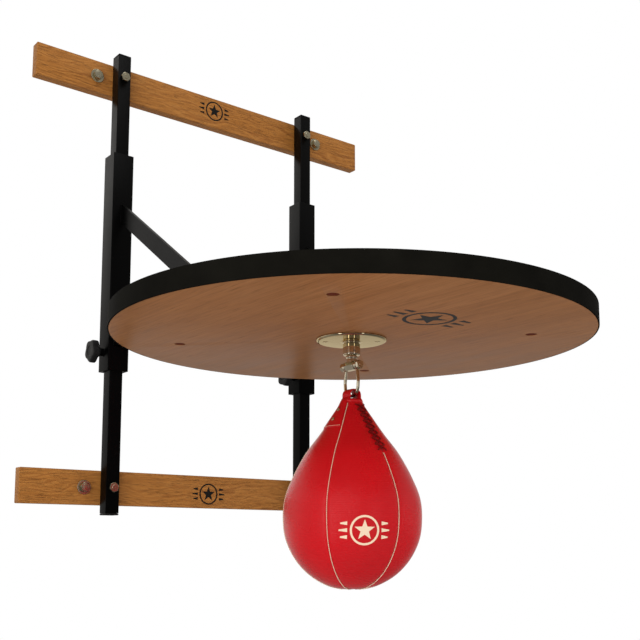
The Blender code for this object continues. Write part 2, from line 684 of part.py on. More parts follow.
def build_bag(axis):
    outer = bag_profile(1)
    inner = [p for p in offset_profile(outer, -LEATHER) if p.y < -LINING_TOP_DEPTH]
    throat = [Vector(point) for point in in_metres(THROAT_OUTLINE)]
    shell = list(reversed(throat + inner)) + outer
    turned("bag_shell", shell, red_leather, BOARD_AXIS, parent=axis, steps=28)

    room = LEATHER + BLADDER_CLEARANCE
    skin = [p for p in offset_profile(outer, -room) if p.y < -BLADDER_SHOULDER_DEPTH]
    lining = offset_profile(outer, -room - BLADDER_WALL)
    lining = [p for p in lining if p.y < -BLADDER_INSIDE_DEPTH]
    neck = BLADDER_NECK_RADIUS
    mouth = [Vector((neck - BLADDER_WALL, -BLADDER_NECK_DEPTH)), Vector((neck, -BLADDER_NECK_DEPTH))]
    bladder = list(reversed(lining)) + mouth + skin
    turned("bag_bladder", bladder, rubber, BOARD_AXIS, parent=axis, steps=20)
    build_strap(axis, outer)
    build_lace(axis)


def build_strap(axis, outer):
    """A leather strap that arches over the shackle's bow and runs down both sides of the bag."""
    arc = [math.radians(a) for a in range(90, -1, -18)]
    arch = [
        Vector((STRAP_ARCH_RADIUS * math.cos(a), -STRAP_ARCH_DROP + STRAP_ARCH_RADIUS * math.sin(a)))
        for a in arc
    ]
    lift = GAP + STRAP_THICKNESS / 2
    foot = [Vector(point) for point in in_metres(STRAP_FOOT)]
    leg = offset_profile(outer, lift)
    leg = [p for p in leg if -STRAP_END_DEPTH < p.y < -STRAP_LEG_TOP_DEPTH]
    half = arch + foot + leg
    path = [Vector((-p.x, p.y)) for p in reversed(half[1:])] + half

    bm = bmesh.new()
    verts = [bm.verts.new((p.x, -STRAP_WIDTH / 2, p.y)) for p in path]
    edges = [bm.edges.new(pair) for pair in zip(verts, verts[1:])]
    swept = bmesh.ops.extrude_edge_only(bm, edges=edges)["geom"]
    far = [item for item in swept if isinstance(item, bmesh.types.BMVert)]
    bmesh.ops.translate(bm, vec=(0, STRAP_WIDTH, 0), verts=far)
    strap = add_object(
        "bag_strap", mesh_from(bm, "bag_strap"), red_leather, BOARD_AXIS, parent=axis
    )
    solidify = strap.modifiers.new("solidify", "SOLIDIFY")
    solidify.thickness = STRAP_THICKNESS
    solidify.offset = 0.0
    solidify.use_even_offset = True


def build_lace(axis):
    """A lace that zigzags across the bag's front seam."""
    count = 2 * LACE_CROSSINGS
    step = (LACE_BOTTOM_DEPTH - LACE_TOP_DEPTH) / count
    lift = LACE_RADIUS + LACE_LIFT
    curve = bpy.data.curves.new("bag_lace", "CURVE")
    curve.dimensions = "3D"
    spline = curve.splines.new("POLY")
    spline.points.add(count)
    for i, point in enumerate(spline.points):
        height = -(LACE_TOP_DEPTH + i * step)
        x = LACE_HALF_WIDTH * math.sin(math.pi / 2 * i)
        y = -math.sqrt((bag_radius(height) + lift) ** 2 - x**2)
        point.co = (x, y, height, 1.0)
    curve.bevel_depth = LACE_RADIUS
    curve.bevel_resolution = 2
    curve.use_fill_caps = True
    as_mesh_object("bag_lace", curve, dark_lace, BOARD_AXIS, axis)


clear_scene()
parts = make_collection("speed_bag_platform", hidden=False)
cutters = make_collection("cutters", hidden=True)

rail_wood = make_material("rail_wood", (0.40, 0.20, 0.07), 0.45)
board_wood = make_material("board_wood", (0.24, 0.11, 0.05), 0.35)
powder_coat = make_material("powder_coat", (0.012, 0.012, 0.013), 0.5)
black_plastic = make_material("black_plastic", (0.02, 0.02, 0.02), 0.45)
rim_black = make_material("rim_black", (0.008, 0.008, 0.008), 0.55)
zinc = make_material("zinc", (0.62, 0.58, 0.47), 0.35, 1.0)
chrome = make_material("chrome", (0.68, 0.65, 0.56), 0.12, 1.0)
brown_paint = make_material("brown_paint", (0.07, 0.02, 0.015), 0.5)
red_leather = make_material("red_leather", (0.50, 0.01, 0.015), 0.35)
dark_lace = make_material("dark_lace", (0.16, 0.01, 0.015), 0.6)
rubber = make_material("rubber", (0.03, 0.03, 0.03), 0.7)

build_rails()
build_posts()
build_frame_fasteners()

carriage_axis = add_axis("carriage_axis", (0, POST_Y, BOARD_UNDER_Z))
build_sleeves(carriage_axis)
build_arms(carriage_axis)
rebound_board = build_board(carriage_axis)
for clamp_side, clamp_sign in SIDES.items():
    build_clamp(clamp_side, clamp_sign, carriage_axis)
build_swivel_housing(carriage_axis, rebound_board)

swivel_axis = add_axis("swivel_axis", BOARD_AXIS, carriage_axis)
build_swivel(swivel_axis)
shackle_axis = add_axis("shackle_axis", BOARD_AXIS - Vector((0, 0, BARREL_DROP)), swivel_axis)
build_shackle(shackle_axis)
bag_axis = add_axis("bag_axis", BOARD_AXIS - Vector((0, 0, BOW_DROP)), shackle_axis)
build_bag(bag_axis)
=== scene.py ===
"""Looks of the speed bag platform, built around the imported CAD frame.

Every piece is made in the frame's own coordinates, in metres: +X right along the wall, +Y into the
wall, +Z up. Positions come from the CAD nodes' boxes.
"""

import math

import bmesh
import bpy
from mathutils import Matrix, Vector


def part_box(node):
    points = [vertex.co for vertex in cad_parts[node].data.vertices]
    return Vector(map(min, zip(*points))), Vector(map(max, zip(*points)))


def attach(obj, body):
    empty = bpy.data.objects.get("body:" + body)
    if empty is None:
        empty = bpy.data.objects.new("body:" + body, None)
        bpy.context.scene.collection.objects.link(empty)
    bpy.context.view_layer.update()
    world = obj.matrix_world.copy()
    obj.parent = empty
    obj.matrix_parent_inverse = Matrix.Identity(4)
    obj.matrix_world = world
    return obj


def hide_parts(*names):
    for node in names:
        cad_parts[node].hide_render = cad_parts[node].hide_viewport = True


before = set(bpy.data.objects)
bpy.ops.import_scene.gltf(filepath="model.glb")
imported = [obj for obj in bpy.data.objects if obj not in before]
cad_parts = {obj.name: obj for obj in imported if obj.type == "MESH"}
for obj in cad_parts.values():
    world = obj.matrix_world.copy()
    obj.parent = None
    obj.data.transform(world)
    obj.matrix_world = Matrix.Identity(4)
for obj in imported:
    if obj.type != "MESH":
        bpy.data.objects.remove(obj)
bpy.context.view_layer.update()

MM = 0.001
SIDES = {"left": -1, "right": 1}
LEVELS = ("upper", "lower")
PLACES = ("front", "rear")
FRONT = math.radians(-90)  # the side of the bag with the lace

# Directions that turned pieces are built along
INTO_WALL = (0, 1, 0)
OUTWARD = (0, -1, 0)
LEFTWARD = (-1, 0, 0)
M8_PITCH = 1.25 * MM
M8_RADIUS = 4.0 * MM

# ---- places read from the frame
board_low, board_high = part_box("rim_band")
BOARD = Vector(((board_low.x + board_high.x) / 2, (board_low.y + board_high.y) / 2, board_low.z))
BOARD_RADIUS = (board_high.x - board_low.x) / 2
BOARD_THICKNESS = board_high.z - board_low.z


def centre(node):
    low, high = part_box(node)
    return (low + high) / 2


# ---- camera
camera = bpy.data.objects.new("camera", bpy.data.cameras.new("camera"))
bpy.context.scene.collection.objects.link(camera)
bpy.context.scene.camera = camera
camera.location = (-0.8046, -1.3384, -0.7135)
camera.rotation_euler = (math.radians(97.74), 0.0, math.radians(-37.909))
camera.data.sensor_width = 36.0
camera.data.lens = 54.87
camera.data.shift_x = -0.0017
camera.data.shift_y = 0.1475
camera.data.clip_end = 60.0


# ---- shader helpers
class Nodes:
    """A node tree, with short calls for the nodes used here."""

    def __init__(self, tree):
        self.tree = tree

    def node(self, kind, settings=None, **inputs):
        made = self.tree.nodes.new(f"ShaderNode{kind}")
        for key, value in (settings or {}).items():
            setattr(made, key, value)
        for key, value in inputs.items():
            self.feed(made.inputs[key.replace("_", " ")], value)
        return made

    def feed(self, socket, value):
        if isinstance(value, bpy.types.NodeSocket):
            self.tree.links.new(value, socket)
        else:
            socket.default_value = (*value, 1.0) if socket.type == "RGBA" else value

    def feed_all(self, sockets, values):
        for socket, value in zip(sockets, values):
            self.feed(socket, value)

    def ramp(self, value, stops):
        made = self.node("ValToRGB", Fac=value)
        elements = made.color_ramp.elements
        while len(elements) < len(stops):
            elements.new(0.5)
        for element, (place, colour) in zip(elements, stops):
            element.position = place
            element.color = (*colour, 1.0)
        return made.outputs["Color"]


class Shader(Nodes):
    """A material with one Principled shader."""

    def __init__(self, name):
        self.material = bpy.data.materials.new(name)
        self.material.use_nodes = True
        super().__init__(self.material.node_tree)
        self.principled = self.tree.nodes["Principled BSDF"]
        self.coords = self.tree.nodes.new("ShaderNodeTexCoord").outputs["Object"]

    def stretch(self, scale, shift=(0.0, 0.0, 0.0)):
        return self.node("Mapping", Vector=self.coords, Scale=scale, Location=shift).outputs["Vector"]

    def noise(self, vector, scale, detail=4.0, rough=0.55):
        made = self.node("TexNoise", Vector=vector, Scale=scale, Detail=detail, Roughness=rough)
        return made.outputs["Fac"]

    def warp(self, vector, amount, cloud, **settings):
        """A vector pushed about by coloured noise."""
        noise = self.node("TexNoise", Vector=cloud, **settings)
        push = self.node("VectorMath", {"operation": "SCALE"}, Scale=amount)
        self.feed(push.inputs[0], noise.outputs["Color"])
        moved = self.node("VectorMath", {"operation": "ADD"})
        self.feed_all(moved.inputs, (vector, push.outputs[0]))
        return moved.outputs[0]

    def wave(self, vector, scale, distort, detail, **settings):
        made = self.node("TexWave", settings, Vector=vector, Scale=scale, Distortion=distort,
                         Detail=detail)
        return made.outputs["Fac"]

    def cells(self, vector, scale, feature):
        made = self.node("TexVoronoi", {"feature": feature}, Vector=vector, Scale=scale)
        return made.outputs["Distance"]

    def math(self, operation, *values):
        made = self.node("Math", {"operation": operation})
        self.feed_all(made.inputs, values)
        return made.outputs[0]

    def span(self, value, low, high, to_low=0.0, to_high=1.0):
        made = self.node("MapRange", Value=value, From_Min=low, From_Max=high, To_Min=to_low,
                         To_Max=to_high)
        return made.outputs["Result"]

    def mix(self, amount, a, b):
        made = self.node("Mix", {"data_type": "RGBA"})
        self.feed_all((made.inputs[0], made.inputs[6], made.inputs[7]), (amount, a, b))
        return made.outputs[2]

    def bump(self, *layers):
        """Layers of (height, distance in metres), strongest relief first."""
        normal = None
        for height, distance in layers:
            made = self.node("Bump", Height=height, Distance=distance)
            if normal:
                self.feed(made.inputs["Normal"], normal)
            normal = made.outputs["Normal"]
        self.feed(self.principled.inputs["Normal"], normal)

    def finish(self, **inputs):
        for key, value in inputs.items():
            self.feed(self.principled.inputs[key.replace("_", " ")], value)
        return self.material


# ---- materials
def rail_wood():
    s = Shader("rail_wood")
    warped = s.warp(s.stretch((0.8, 17.0, 15.0), (0.3, 0.11, 0.07)), 1.1,
                    s.stretch((2.6, 9.0, 9.0)), Scale=1.6, Detail=3.0)
    rings = s.wave(warped, 2.6, 3.0, 4.0, wave_type="RINGS")
    streaks = s.noise(s.stretch((24.0, 300.0, 300.0)), 1.0, 6.0, 0.72)
    streak_mask = s.span(streaks, 0.50, 0.64)
    pores = s.noise(s.stretch((60.0, 900.0, 900.0), (2.0, 5.0, 1.0)), 1.0, 3.0, 0.65)
    pore_mask = s.span(pores, 0.55, 0.63)
    drift = s.noise(s.stretch((1.5, 10.0, 16.0), (1.0, 2.0, 0.0)), 2.0, 3.0, 0.5)
    base = s.ramp(rings, [
        (0.0, (0.288, 0.111, 0.021)), (0.5, (0.334, 0.135, 0.027)), (0.85, (0.352, 0.147, 0.032)),
        (1.0, (0.256, 0.093, 0.017)),
    ])
    toned = s.mix(s.math("MULTIPLY", streak_mask, 0.46), base, (0.150, 0.046, 0.008))
    pored = s.mix(s.math("MULTIPLY", pore_mask, 0.50), toned, (0.055, 0.018, 0.004))
    colour = s.mix(s.span(drift, 0.42, 0.68, 0.0, 0.35), pored, (0.43, 0.190, 0.052))
    s.bump((s.math("MULTIPLY", pore_mask, -1.0), 0.00016), (streaks, 0.00010))
    rough = s.span(streaks, 0.3, 0.7, 0.42, 0.56)
    return s.finish(Base_Color=colour, Roughness=rough, Specular_IOR_Level=0.16)


def board_wood():
    s = Shader("board_wood")
    warped = s.warp(s.stretch((9.0, 0.55, 0.6)), 1.5, s.stretch((3.0, 1.2, 1.0)), Scale=1.6)
    bands = s.noise(warped, 3.2, 5.0, 0.6)
    fibres = s.noise(s.stretch((420.0, 9.0, 420.0)), 1.0, 4.0, 0.65)
    pores = s.span(s.noise(s.stretch((700.0, 26.0, 700.0), (4.0, 1.0, 0.0)), 1.0, 2.0), 0.60, 0.72)
    base = s.ramp(bands, [
        (0.25, (0.246, 0.102, 0.036)), (0.48, (0.300, 0.130, 0.049)), (0.62, (0.322, 0.143, 0.056)),
        (0.80, (0.264, 0.111, 0.041)),
    ])
    streaked = s.mix(s.span(fibres, 0.38, 0.72, 0.0, 0.5), base, (0.145, 0.062, 0.025))
    colour = s.mix(s.math("MULTIPLY", pores, 0.5), streaked, (0.075, 0.030, 0.012))
    s.bump((fibres, 0.00004), (s.noise(s.coords, 22.0, 2.0), 0.0003))
    rough = s.span(bands, 0.3, 0.7, 0.34, 0.42)
    return s.finish(Base_Color=colour, Roughness=rough, Specular_IOR_Level=0.03)


def powder_coat():
    s = Shader("powder_coat")
    peel = s.noise(s.coords, 900.0, 3.0, 0.6)
    patches = s.noise(s.coords, 14.0, 4.0, 0.6)
    scuffs = s.span(s.noise(s.stretch((60.0, 60.0, 900.0), (3.0, 1.0, 0.0)), 1.0, 3.0), 0.70, 0.78)
    colour = s.mix(scuffs, (0.0012, 0.0012, 0.0012), (0.008, 0.008, 0.008))
    rough = s.span(patches, 0.3, 0.7, 0.30, 0.38)
    s.bump((peel, 0.00007), (patches, 0.00010))
    return s.finish(Base_Color=colour, Roughness=rough, Specular_IOR_Level=0.07)


def moulded_black(name, base, rough_low, rough_high, grain, shine=0.14):
    s = Shader(name)
    fine = s.noise(s.coords, grain, 3.0, 0.6)
    broad = s.noise(s.coords, 20.0, 3.0)
    colour = s.mix(s.span(broad, 0.3, 0.7), base, tuple(1.7 * c for c in base))
    s.bump((fine, 0.00008))
    return s.finish(
        Base_Color=colour, Roughness=s.span(broad, 0.3, 0.7, rough_low, rough_high),
        Specular_IOR_Level=shine,
    )


def plated(name, light, dark, rough_low, rough_high, brush, edge=(1.0, 1.0, 1.0)):
    """Plated metal: brush is the strength of its fine turning marks."""
    s = Shader(name)
    cloud = s.noise(s.coords, 90.0, 4.0, 0.6)
    scratch = s.noise(s.stretch((2600.0, 2600.0, 120.0)), 1.0, 2.0, 0.7)
    spots = s.span(s.noise(s.coords, 420.0, 3.0, 0.7), 0.60, 0.72)
    toned = s.mix(s.span(cloud, 0.3, 0.75), light, dark)
    colour = s.mix(s.math("MULTIPLY", spots, 0.18), toned, tuple(0.5 * c for c in dark))
    rough = s.math("ADD", s.span(cloud, 0.3, 0.7, rough_low, rough_high),
                   s.math("MULTIPLY", spots, 0.12))
    s.bump((scratch, brush))
    return s.finish(Base_Color=colour, Metallic=1.0, Roughness=rough, Specular_Tint=edge)


def leather(name, bright, deep, grain_size, rough, shine=0.27):
    """Pigmented leather: pebbled grain, and creases with painted shade in them."""
    s = Shader(name)
    jitter = s.warp(s.coords, 0.0016, s.coords, Scale=260.0)
    pebbles = s.cells(jitter, 1.0 / grain_size, "SMOOTH_F1")
    creases = s.span(s.cells(jitter, 0.55 / grain_size, "DISTANCE_TO_EDGE"), 0.0, 0.12)
    ribs = s.wave(s.coords, 150.0, 1.0, 1.0, bands_direction="Z")
    broad = s.noise(s.coords, 13.0, 4.0, 0.55)
    toned = s.mix(s.span(broad, 0.32, 0.70), bright, deep)
    # painted shade: the colour darkens towards the crease lines
    colour = s.mix(s.span(creases, 0.0, 1.0, 0.22, 0.0), toned, tuple(0.7 * c for c in deep))
    s.bump(
        (s.math("SUBTRACT", 1.0, pebbles), 0.00008), (ribs, 0.00009), (creases, 0.00004),
        (broad, 0.0006),
    )
    roughness = s.span(broad, 0.3, 0.7, rough - 0.03, rough + 0.04)
    return s.finish(Base_Color=colour, Roughness=roughness, Specular_IOR_Level=shine)


def thread(name, light, dark):
    s = Shader(name)
    twist = s.wave(s.coords, 900.0, 0.4, 1.0, bands_direction="DIAGONAL")
    fuzz = s.noise(s.coords, 1500.0, 2.0)
    colour = s.mix(s.span(twist, 0.2, 0.8), dark, light)
    worn = s.mix(s.span(fuzz, 0.55, 0.8, 0.0, 0.4), colour, tuple(0.6 * c for c in dark))
    s.bump((twist, 0.00012))
    return s.finish(Base_Color=worn, Roughness=0.75, Specular_IOR_Level=0.3)


def painted(name, base, worn, rough, shine=0.1):
    """Printed or painted marks with slight wear."""
    s = Shader(name)
    wear = s.span(s.noise(s.coords, 700.0, 4.0, 0.7), 0.58, 0.74)
    s.bump((s.noise(s.coords, 500.0, 2.0), 0.00004))
    colour = s.mix(s.math("MULTIPLY", wear, 0.45), base, worn)
    return s.finish(Base_Color=colour, Roughness=rough, Specular_IOR_Level=shine)


RAIL_WOOD = rail_wood()
BOARD_WOOD = board_wood()
POWDER = powder_coat()
PLASTIC = moulded_black("black_plastic", (0.006, 0.006, 0.006), 0.42, 0.55, 1100.0)
RIM = moulded_black("rim_band", (0.0042, 0.0039, 0.0030), 0.68, 0.78, 1400.0, 0.02)
RUBBER = moulded_black("rubber", (0.012, 0.012, 0.012), 0.65, 0.8, 900.0)
ZINC = plated("zinc", (0.76, 0.69, 0.49), (0.60, 0.54, 0.37), 0.18, 0.28, 0.00002)
NICKEL = plated("polished_nickel", (0.84, 0.75, 0.58), (0.74, 0.64, 0.48), 0.04, 0.08, 0.000004,
                (0.90, 0.84, 0.72))
FLANGE = plated("flange_nickel", (0.76, 0.64, 0.42), (0.68, 0.57, 0.37), 0.05, 0.09, 0.000004,
                (0.92, 0.84, 0.66))
BRASS = plated("brass", (0.72, 0.60, 0.36), (0.50, 0.40, 0.22), 0.22, 0.34, 0.00002)
BROWN = painted("brown_cap", (0.105, 0.022, 0.011), (0.16, 0.05, 0.03), 0.62, 0.02)
RED = leather("red_leather", (0.520, 0.0050, 0.0095), (0.455, 0.0040, 0.0078), 1.2 * MM, 0.27)
# darker copy of the red leather, laid along the seams and the slit as painted shade in their grooves
SEAM_SHADE_RED = leather("red_leather_painted_shade", (0.30, 0.010, 0.012), (0.20, 0.007, 0.009), 1.1 * MM, 0.5)
LACE = leather("lace_leather", (0.175, 0.007, 0.006), (0.085, 0.003, 0.003), 0.8 * MM, 0.6, 0.06)
# near-black leather for the fold inside the throat: painted shade of the dark hole
THROAT_SHADE = leather("throat_painted_shade", (0.030, 0.004, 0.003), (0.015, 0.002, 0.002), 1.0 * MM, 0.8,
                    0.05)
CREAM = thread("cream_thread", (0.90, 0.78, 0.60), (0.72, 0.52, 0.36))
MARK_BLACK = painted("black_mark", (0.010, 0.009, 0.008), (0.08, 0.05, 0.03), 0.45)
MARK_CREAM = painted("cream_mark", (0.74, 0.58, 0.42), (0.50, 0.16, 0.12), 0.45)


# ---- mesh helpers
def outward(mesh):
    """The mesh with all its faces turned outward."""
    bm = bmesh.new()
    bm.from_mesh(mesh)
    bmesh.ops.recalc_face_normals(bm, faces=bm.faces)
    bm.to_mesh(mesh)
    bm.free()
    return mesh


def mesh_of(verts, faces):
    mesh = bpy.data.meshes.new("piece")
    mesh.from_pydata([tuple(v) for v in verts], [], [tuple(f) for f in faces])
    return outward(mesh)


def add_object(name, data):
    obj = bpy.data.objects.new(name, data)
    bpy.context.scene.collection.objects.link(obj)
    return obj


def make_piece(name, shape, material, body, replaces=(), smooth=40.0):
    """A piece in row coordinates, from a mesh or (verts, faces), that rides on a body."""
    mesh = mesh_of(*shape) if isinstance(shape, tuple) else outward(shape)
    mesh.shade_smooth()
    if smooth:
        mesh.set_sharp_from_angle(angle=math.radians(smooth))
    obj = add_object(name, mesh)
    mesh.materials.append(material)
    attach(obj, body)
    if replaces:
        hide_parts(*replaces)
    return obj


def loft(loops, closed=False):
    """Loops of equal length joined in order; open lofts get flat caps, closed ones meet their start."""
    rows, count = len(loops), len(loops[0])
    verts = [p for loop in loops for p in loop]
    faces = []
    for i in range(rows if closed else rows - 1):
        a, b = i * count, (i + 1) % rows * count
        for j in range(count):
            k = (j + 1) % count
            faces.append((a + j, a + k, b + k, b + j))
    if not closed:
        faces.append(tuple(range(count))[::-1])
        faces.append(tuple((rows - 1) * count + i for i in range(count)))
    return verts, faces


def join_parts(parts):
    """Several (verts, faces) lists as one."""
    verts, faces = [], []
    for part_verts, part_faces in parts:
        start = len(verts)
        verts += [tuple(v) for v in part_verts]
        faces += [tuple(start + i for i in f) for f in part_faces]
    return verts, faces


def fillet(points, radius, steps=4, closed=False):
    """A polygon with every corner rounded; radius is one value or a list with one for each point."""
    points = [Vector(p) for p in points]
    count = len(points)
    radii = radius if isinstance(radius, (list, tuple)) else [radius] * count
    rounded = []
    for i, point in enumerate(points):
        if not closed and i in (0, count - 1) or radii[i] <= 0:
            rounded.append(point)
            continue
        back = points[i - 1] - point
        ahead = points[(i + 1) % count] - point
        reach = min(radii[i], 0.49 * back.length, 0.49 * ahead.length)
        start = point + back.normalized() * reach
        end = point + ahead.normalized() * reach
        for k in range(steps + 1):
            t = k / steps
            rounded.append((1 - t) ** 2 * start + 2 * t * (1 - t) * point + t**2 * end)
    return rounded


def axes_for(direction):
    """Two unit vectors across a direction, so that (u, v, direction) is right-handed."""
    direction = Vector(direction).normalized()
    helper = Vector((0, 0, 1)) if abs(direction.z) < 0.9 else Vector((1, 0, 0))
    u = helper.cross(direction).normalized()
    return u, direction.cross(u), direction


def revolve(profile, origin, direction=(0, 0, 1), segments=64, closed=False, shape=None):
    """A profile of (radius, height) turned about an axis; shape may change each point's radius."""
    u, v, w = axes_for(direction)
    origin = Vector(origin)
    loops = []
    for radius, height in profile:
        loop = []
        for k in range(segments):
            angle = 2 * math.pi * k / segments
            r = shape(angle, radius, height) if shape else radius
            loop.append(origin + r * math.cos(angle) * u + r * math.sin(angle) * v + height * w)
        loops.append(loop)
    return loft(loops, closed)


def sweep(path, radius, sides=12, closed=False, squash=1.0, up=None):
    """A round or flattened tube along a path, turned as little as possible along the way."""
    path = [Vector(p) for p in path]
    count = len(path)
    loops = []
    side = None
    for i, point in enumerate(path):
        before = path[i - 1] if closed or i else point
        after = path[(i + 1) % count] if closed or i < count - 1 else point
        along = (after - before).normalized()
        if up is not None:
            normal = Vector(up[i])
            side = along.cross(normal).normalized()
        elif side is None:
            side = axes_for(along)[0]
        else:
            side = (side - side.dot(along) * along).normalized()
        lift = side.cross(along)
        r = radius[i] if isinstance(radius, (list, tuple)) else radius
        loops.append([
            point + r * math.cos(a) * side + r * squash * math.sin(a) * lift
            for a in (2 * math.pi * k / sides for k in range(sides))
        ])
    return loft(loops, closed)


def smooth_path(points, steps=6):
    """Points on a Catmull-Rom curve through the given points."""
    pts = [Vector(p) for p in points]
    pts = [2 * pts[0] - pts[1], *pts, 2 * pts[-1] - pts[-2]]
    path = []
    for p0, p1, p2, p3 in zip(pts, pts[1:], pts[2:], pts[3:]):
        t1 = math.sqrt((p1 - p0).length)
        t2 = t1 + math.sqrt((p2 - p1).length)
        t3 = t2 + math.sqrt((p3 - p2).length)
        for i in range(steps):
            t = t1 + (t2 - t1) * i / steps
            a1, a2 = p0.lerp(p1, t / t1), p1.lerp(p2, (t - t1) / (t2 - t1))
            a3 = p2.lerp(p3, (t - t2) / (t3 - t2))
            b1, b2 = a1.lerp(a2, t / t2), a2.lerp(a3, (t - t1) / (t3 - t1))
            path.append(b1.lerp(b2, (t - t1) / (t2 - t1)))
    path.append(pts[-2])
    return path


def hexagon(origin, direction, flats, low, high, turn=0.0, both=False, top=0.94, chamfer=0.06,
            segments=72):
    """A hexagonal bar whose corners are chamfered at its high end or at both."""
    slope = math.tan(math.radians(30))
    low_end = low if both else low - 1.0

    def radius_at(angle, radius, height):
        local = (angle + turn) % (math.pi / 3) - math.pi / 6
        cone = flats / 2 * top + min(high - height, height - low_end) / slope
        return min(flats / 2 / math.cos(local), cone)

    zone = [low + flats * chamfer * k / 5 for k in range(6)]
    profile = [(1.0, z) for z in zone] + [(1.0, low + high - z) for z in reversed(zone)]
    return revolve(profile, origin, direction, segments, shape=radius_at)


def threaded_rod(origin, direction, radius, low, high, pitch, depth, chamfer):
    """A rod with a real helical thread between low and high, and a chamfered tip at high."""
    u, v, w = axes_for(direction)
    origin = Vector(origin)
    around, per_turn = 32, 8
    rows = max(int((high - low) / pitch * per_turn), 4)
    loops = []
    for i in range(rows + 1):
        height = low + (high - low) * i / rows
        limit = radius - max(0.0, chamfer - (high - height))
        loop = []
        for k in range(around):
            angle = 2 * math.pi * k / around
            phase = (height / pitch - k / around) % 1.0
            r = min(radius - depth * abs(2 * phase - 1), limit)
            loop.append(origin + r * (math.cos(angle) * u + math.sin(angle) * v) + height * w)
        loops.append(loop)
    return loft(loops)


def rounded_square(width, corner, steps=5):
    half = width / 2
    corners = [(-half, -half), (half, -half), (half, half), (-half, half)]
    return fillet([Vector((*c, 0)) for c in corners], corner, steps, closed=True)


def in_metres(outline, fillets, steps=4, closed=False):
    """A profile given in millimetres, with rounded corners, in metres."""
    points = [(radius * MM, height * MM) for radius, height in outline]
    radii = [f * MM for f in fillets] if isinstance(fillets, (list, tuple)) else fillets * MM
    return fillet(points, radii, steps, closed)


def tube_along(low_corner, high_corner, axis, wall, corner):
    """A square tube with rounded corners and softened ends that fills a CAD tube's box."""
    others = [i for i in range(3) if i != axis]
    width = high_corner[others[0]] - low_corner[others[0]]
    start, end = low_corner[axis], high_corner[axis]
    middle = (low_corner + high_corner) / 2
    lip = 0.4 * MM
    rows = [
        (0.0, lip, start), (0.0, 0.0, start + lip), (0.0, 0.0, end - lip), (0.0, lip, end),
        (wall, -lip, end), (wall, 0.0, end - lip), (wall, 0.0, start + lip), (wall, -lip, start),
    ]
    loops = []
    for depth, inset, place in rows:
        size = width - 2 * depth - 2 * inset
        radius = max(corner - depth - inset, 0.35 * MM)
        loop = []
        for p in rounded_square(size, radius):
            point = middle.copy()
            point[others[0]] += p.x
            point[others[1]] += p.y
            point[axis] = place
            loop.append(point)
        loops.append(loop)
    return loft(loops, closed=True)


# ---- wall rails and posts
def rounded_block(low, high, radius):
    bm = bmesh.new()
    bmesh.ops.create_cube(bm, size=1.0)
    bmesh.ops.scale(bm, vec=high - low, verts=bm.verts)
    bmesh.ops.translate(bm, vec=(low + high) / 2, verts=bm.verts)
    bmesh.ops.bevel(bm, geom=bm.edges[:], offset=radius, segments=4, profile=0.5, affect="EDGES")
    mesh = bpy.data.meshes.new("block")
    bm.to_mesh(mesh)
    bm.free()
    return mesh


def slot_cutter(at, turn, half_length, half_width):
    """A bar that cuts a screwdriver slot upward into a screw head at the board's underside."""
    along = Vector((math.cos(turn), math.sin(turn), 0))
    across = Vector((-math.sin(turn), math.cos(turn), 0))
    loops = []
    for depth in (-2.0 * MM, 0.35 * MM):
        loops.append([at + a * half_length * along + b * half_width * across + Vector((0, 0, depth))
                      for a, b in ((-1, -1), (1, -1), (1, 1), (-1, 1))])
    return mesh_of(*loft(loops))


def cut_by(mesh, cutters):
    """The mesh with every cutter taken out of it."""
    body = add_object("cut", mesh)
    tools = [add_object("cutter", cutter) for cutter in cutters]
    for tool in tools:
        cut = body.modifiers.new("cut", "BOOLEAN")
        cut.operation = "DIFFERENCE"
        cut.solver = "EXACT"
        cut.object = tool
    result = evaluated_mesh(body)
    for obj in [body, *tools]:
        bpy.data.objects.remove(obj, do_unlink=True)
    return result


def evaluated_mesh(obj):
    bpy.context.view_layer.update()
    evaluated = obj.evaluated_get(bpy.context.evaluated_depsgraph_get())
    return bpy.data.meshes.new_from_object(evaluated)


def drilled(mesh, holes, sides=40):
    """The mesh with round holes cut out; each hole is (origin, direction, radius, low, high)."""
    return cut_by(mesh, [
        mesh_of(*revolve([(radius, low), (radius, high)], origin, direction, sides))
        for origin, direction, radius, low, high in holes
    ])


def build_rails():
    for level in LEVELS:
        node = f"{level}_wall_rail"
        holes = []
        for side in SIDES:
            low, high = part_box(f"{level}_{side}_post_bolt")
            bolt = (low + high) / 2
            recess = (high.x - low.x) / 2 + 0.6 * MM
            holes.append(((bolt.x, 0, bolt.z), INTO_WALL, recess, -4.5 * MM, 0.01))
            lag = centre(f"{level}_{side}_lag_screw")
            holes.append(((lag.x, 0, lag.z), INTO_WALL, 4.3 * MM, -0.03, 0.01))
        mesh = drilled(rounded_block(*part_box(node), 1.5 * MM), holes)
        make_piece(node + "_wood", mesh, RAIL_WOOD, "wall_frame", [node], 30.0)


BOSS_OUTLINE = ((7.2, 0), (5.75, 1.4), (5.75, 6.2), (4.3, 6.2), (4.3, 0))  # millimetres


def build_tubes():
    specs = [(f"{side}_post", 2, 1.3 * MM, "wall_frame") for side in SIDES]
    specs += [(f"{side}_arm", 1, 1.4 * MM, "carriage") for side in SIDES]
    for node, axis, corner, body in specs:
        tube = tube_along(*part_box(node), axis, 1.5 * MM, corner)
        make_piece(node + "_tube", tube, POWDER, body, [node], 50.0)
    for side in SIDES:
        node = f"{side}_sleeve"
        low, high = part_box(node)
        tube_low = Vector((high.x - (high.y - low.y), low.y, low.z))  # leaves the boss out
        screw = centre(f"{side}_clamp_screw")
        boss_at = (tube_low.x + 0.2 * MM, screw.y, screw.z)
        boss = revolve(in_metres(BOSS_OUTLINE, [0, 0.8, 0.5, 0.3, 0]), boss_at, LEFTWARD, 48, True)
        parts = [tube_along(tube_low, high, 2, 2.0 * MM, 1.7 * MM), boss]
        make_piece(node + "_tube", join_parts(parts), POWDER, "carriage", [node], 50.0)


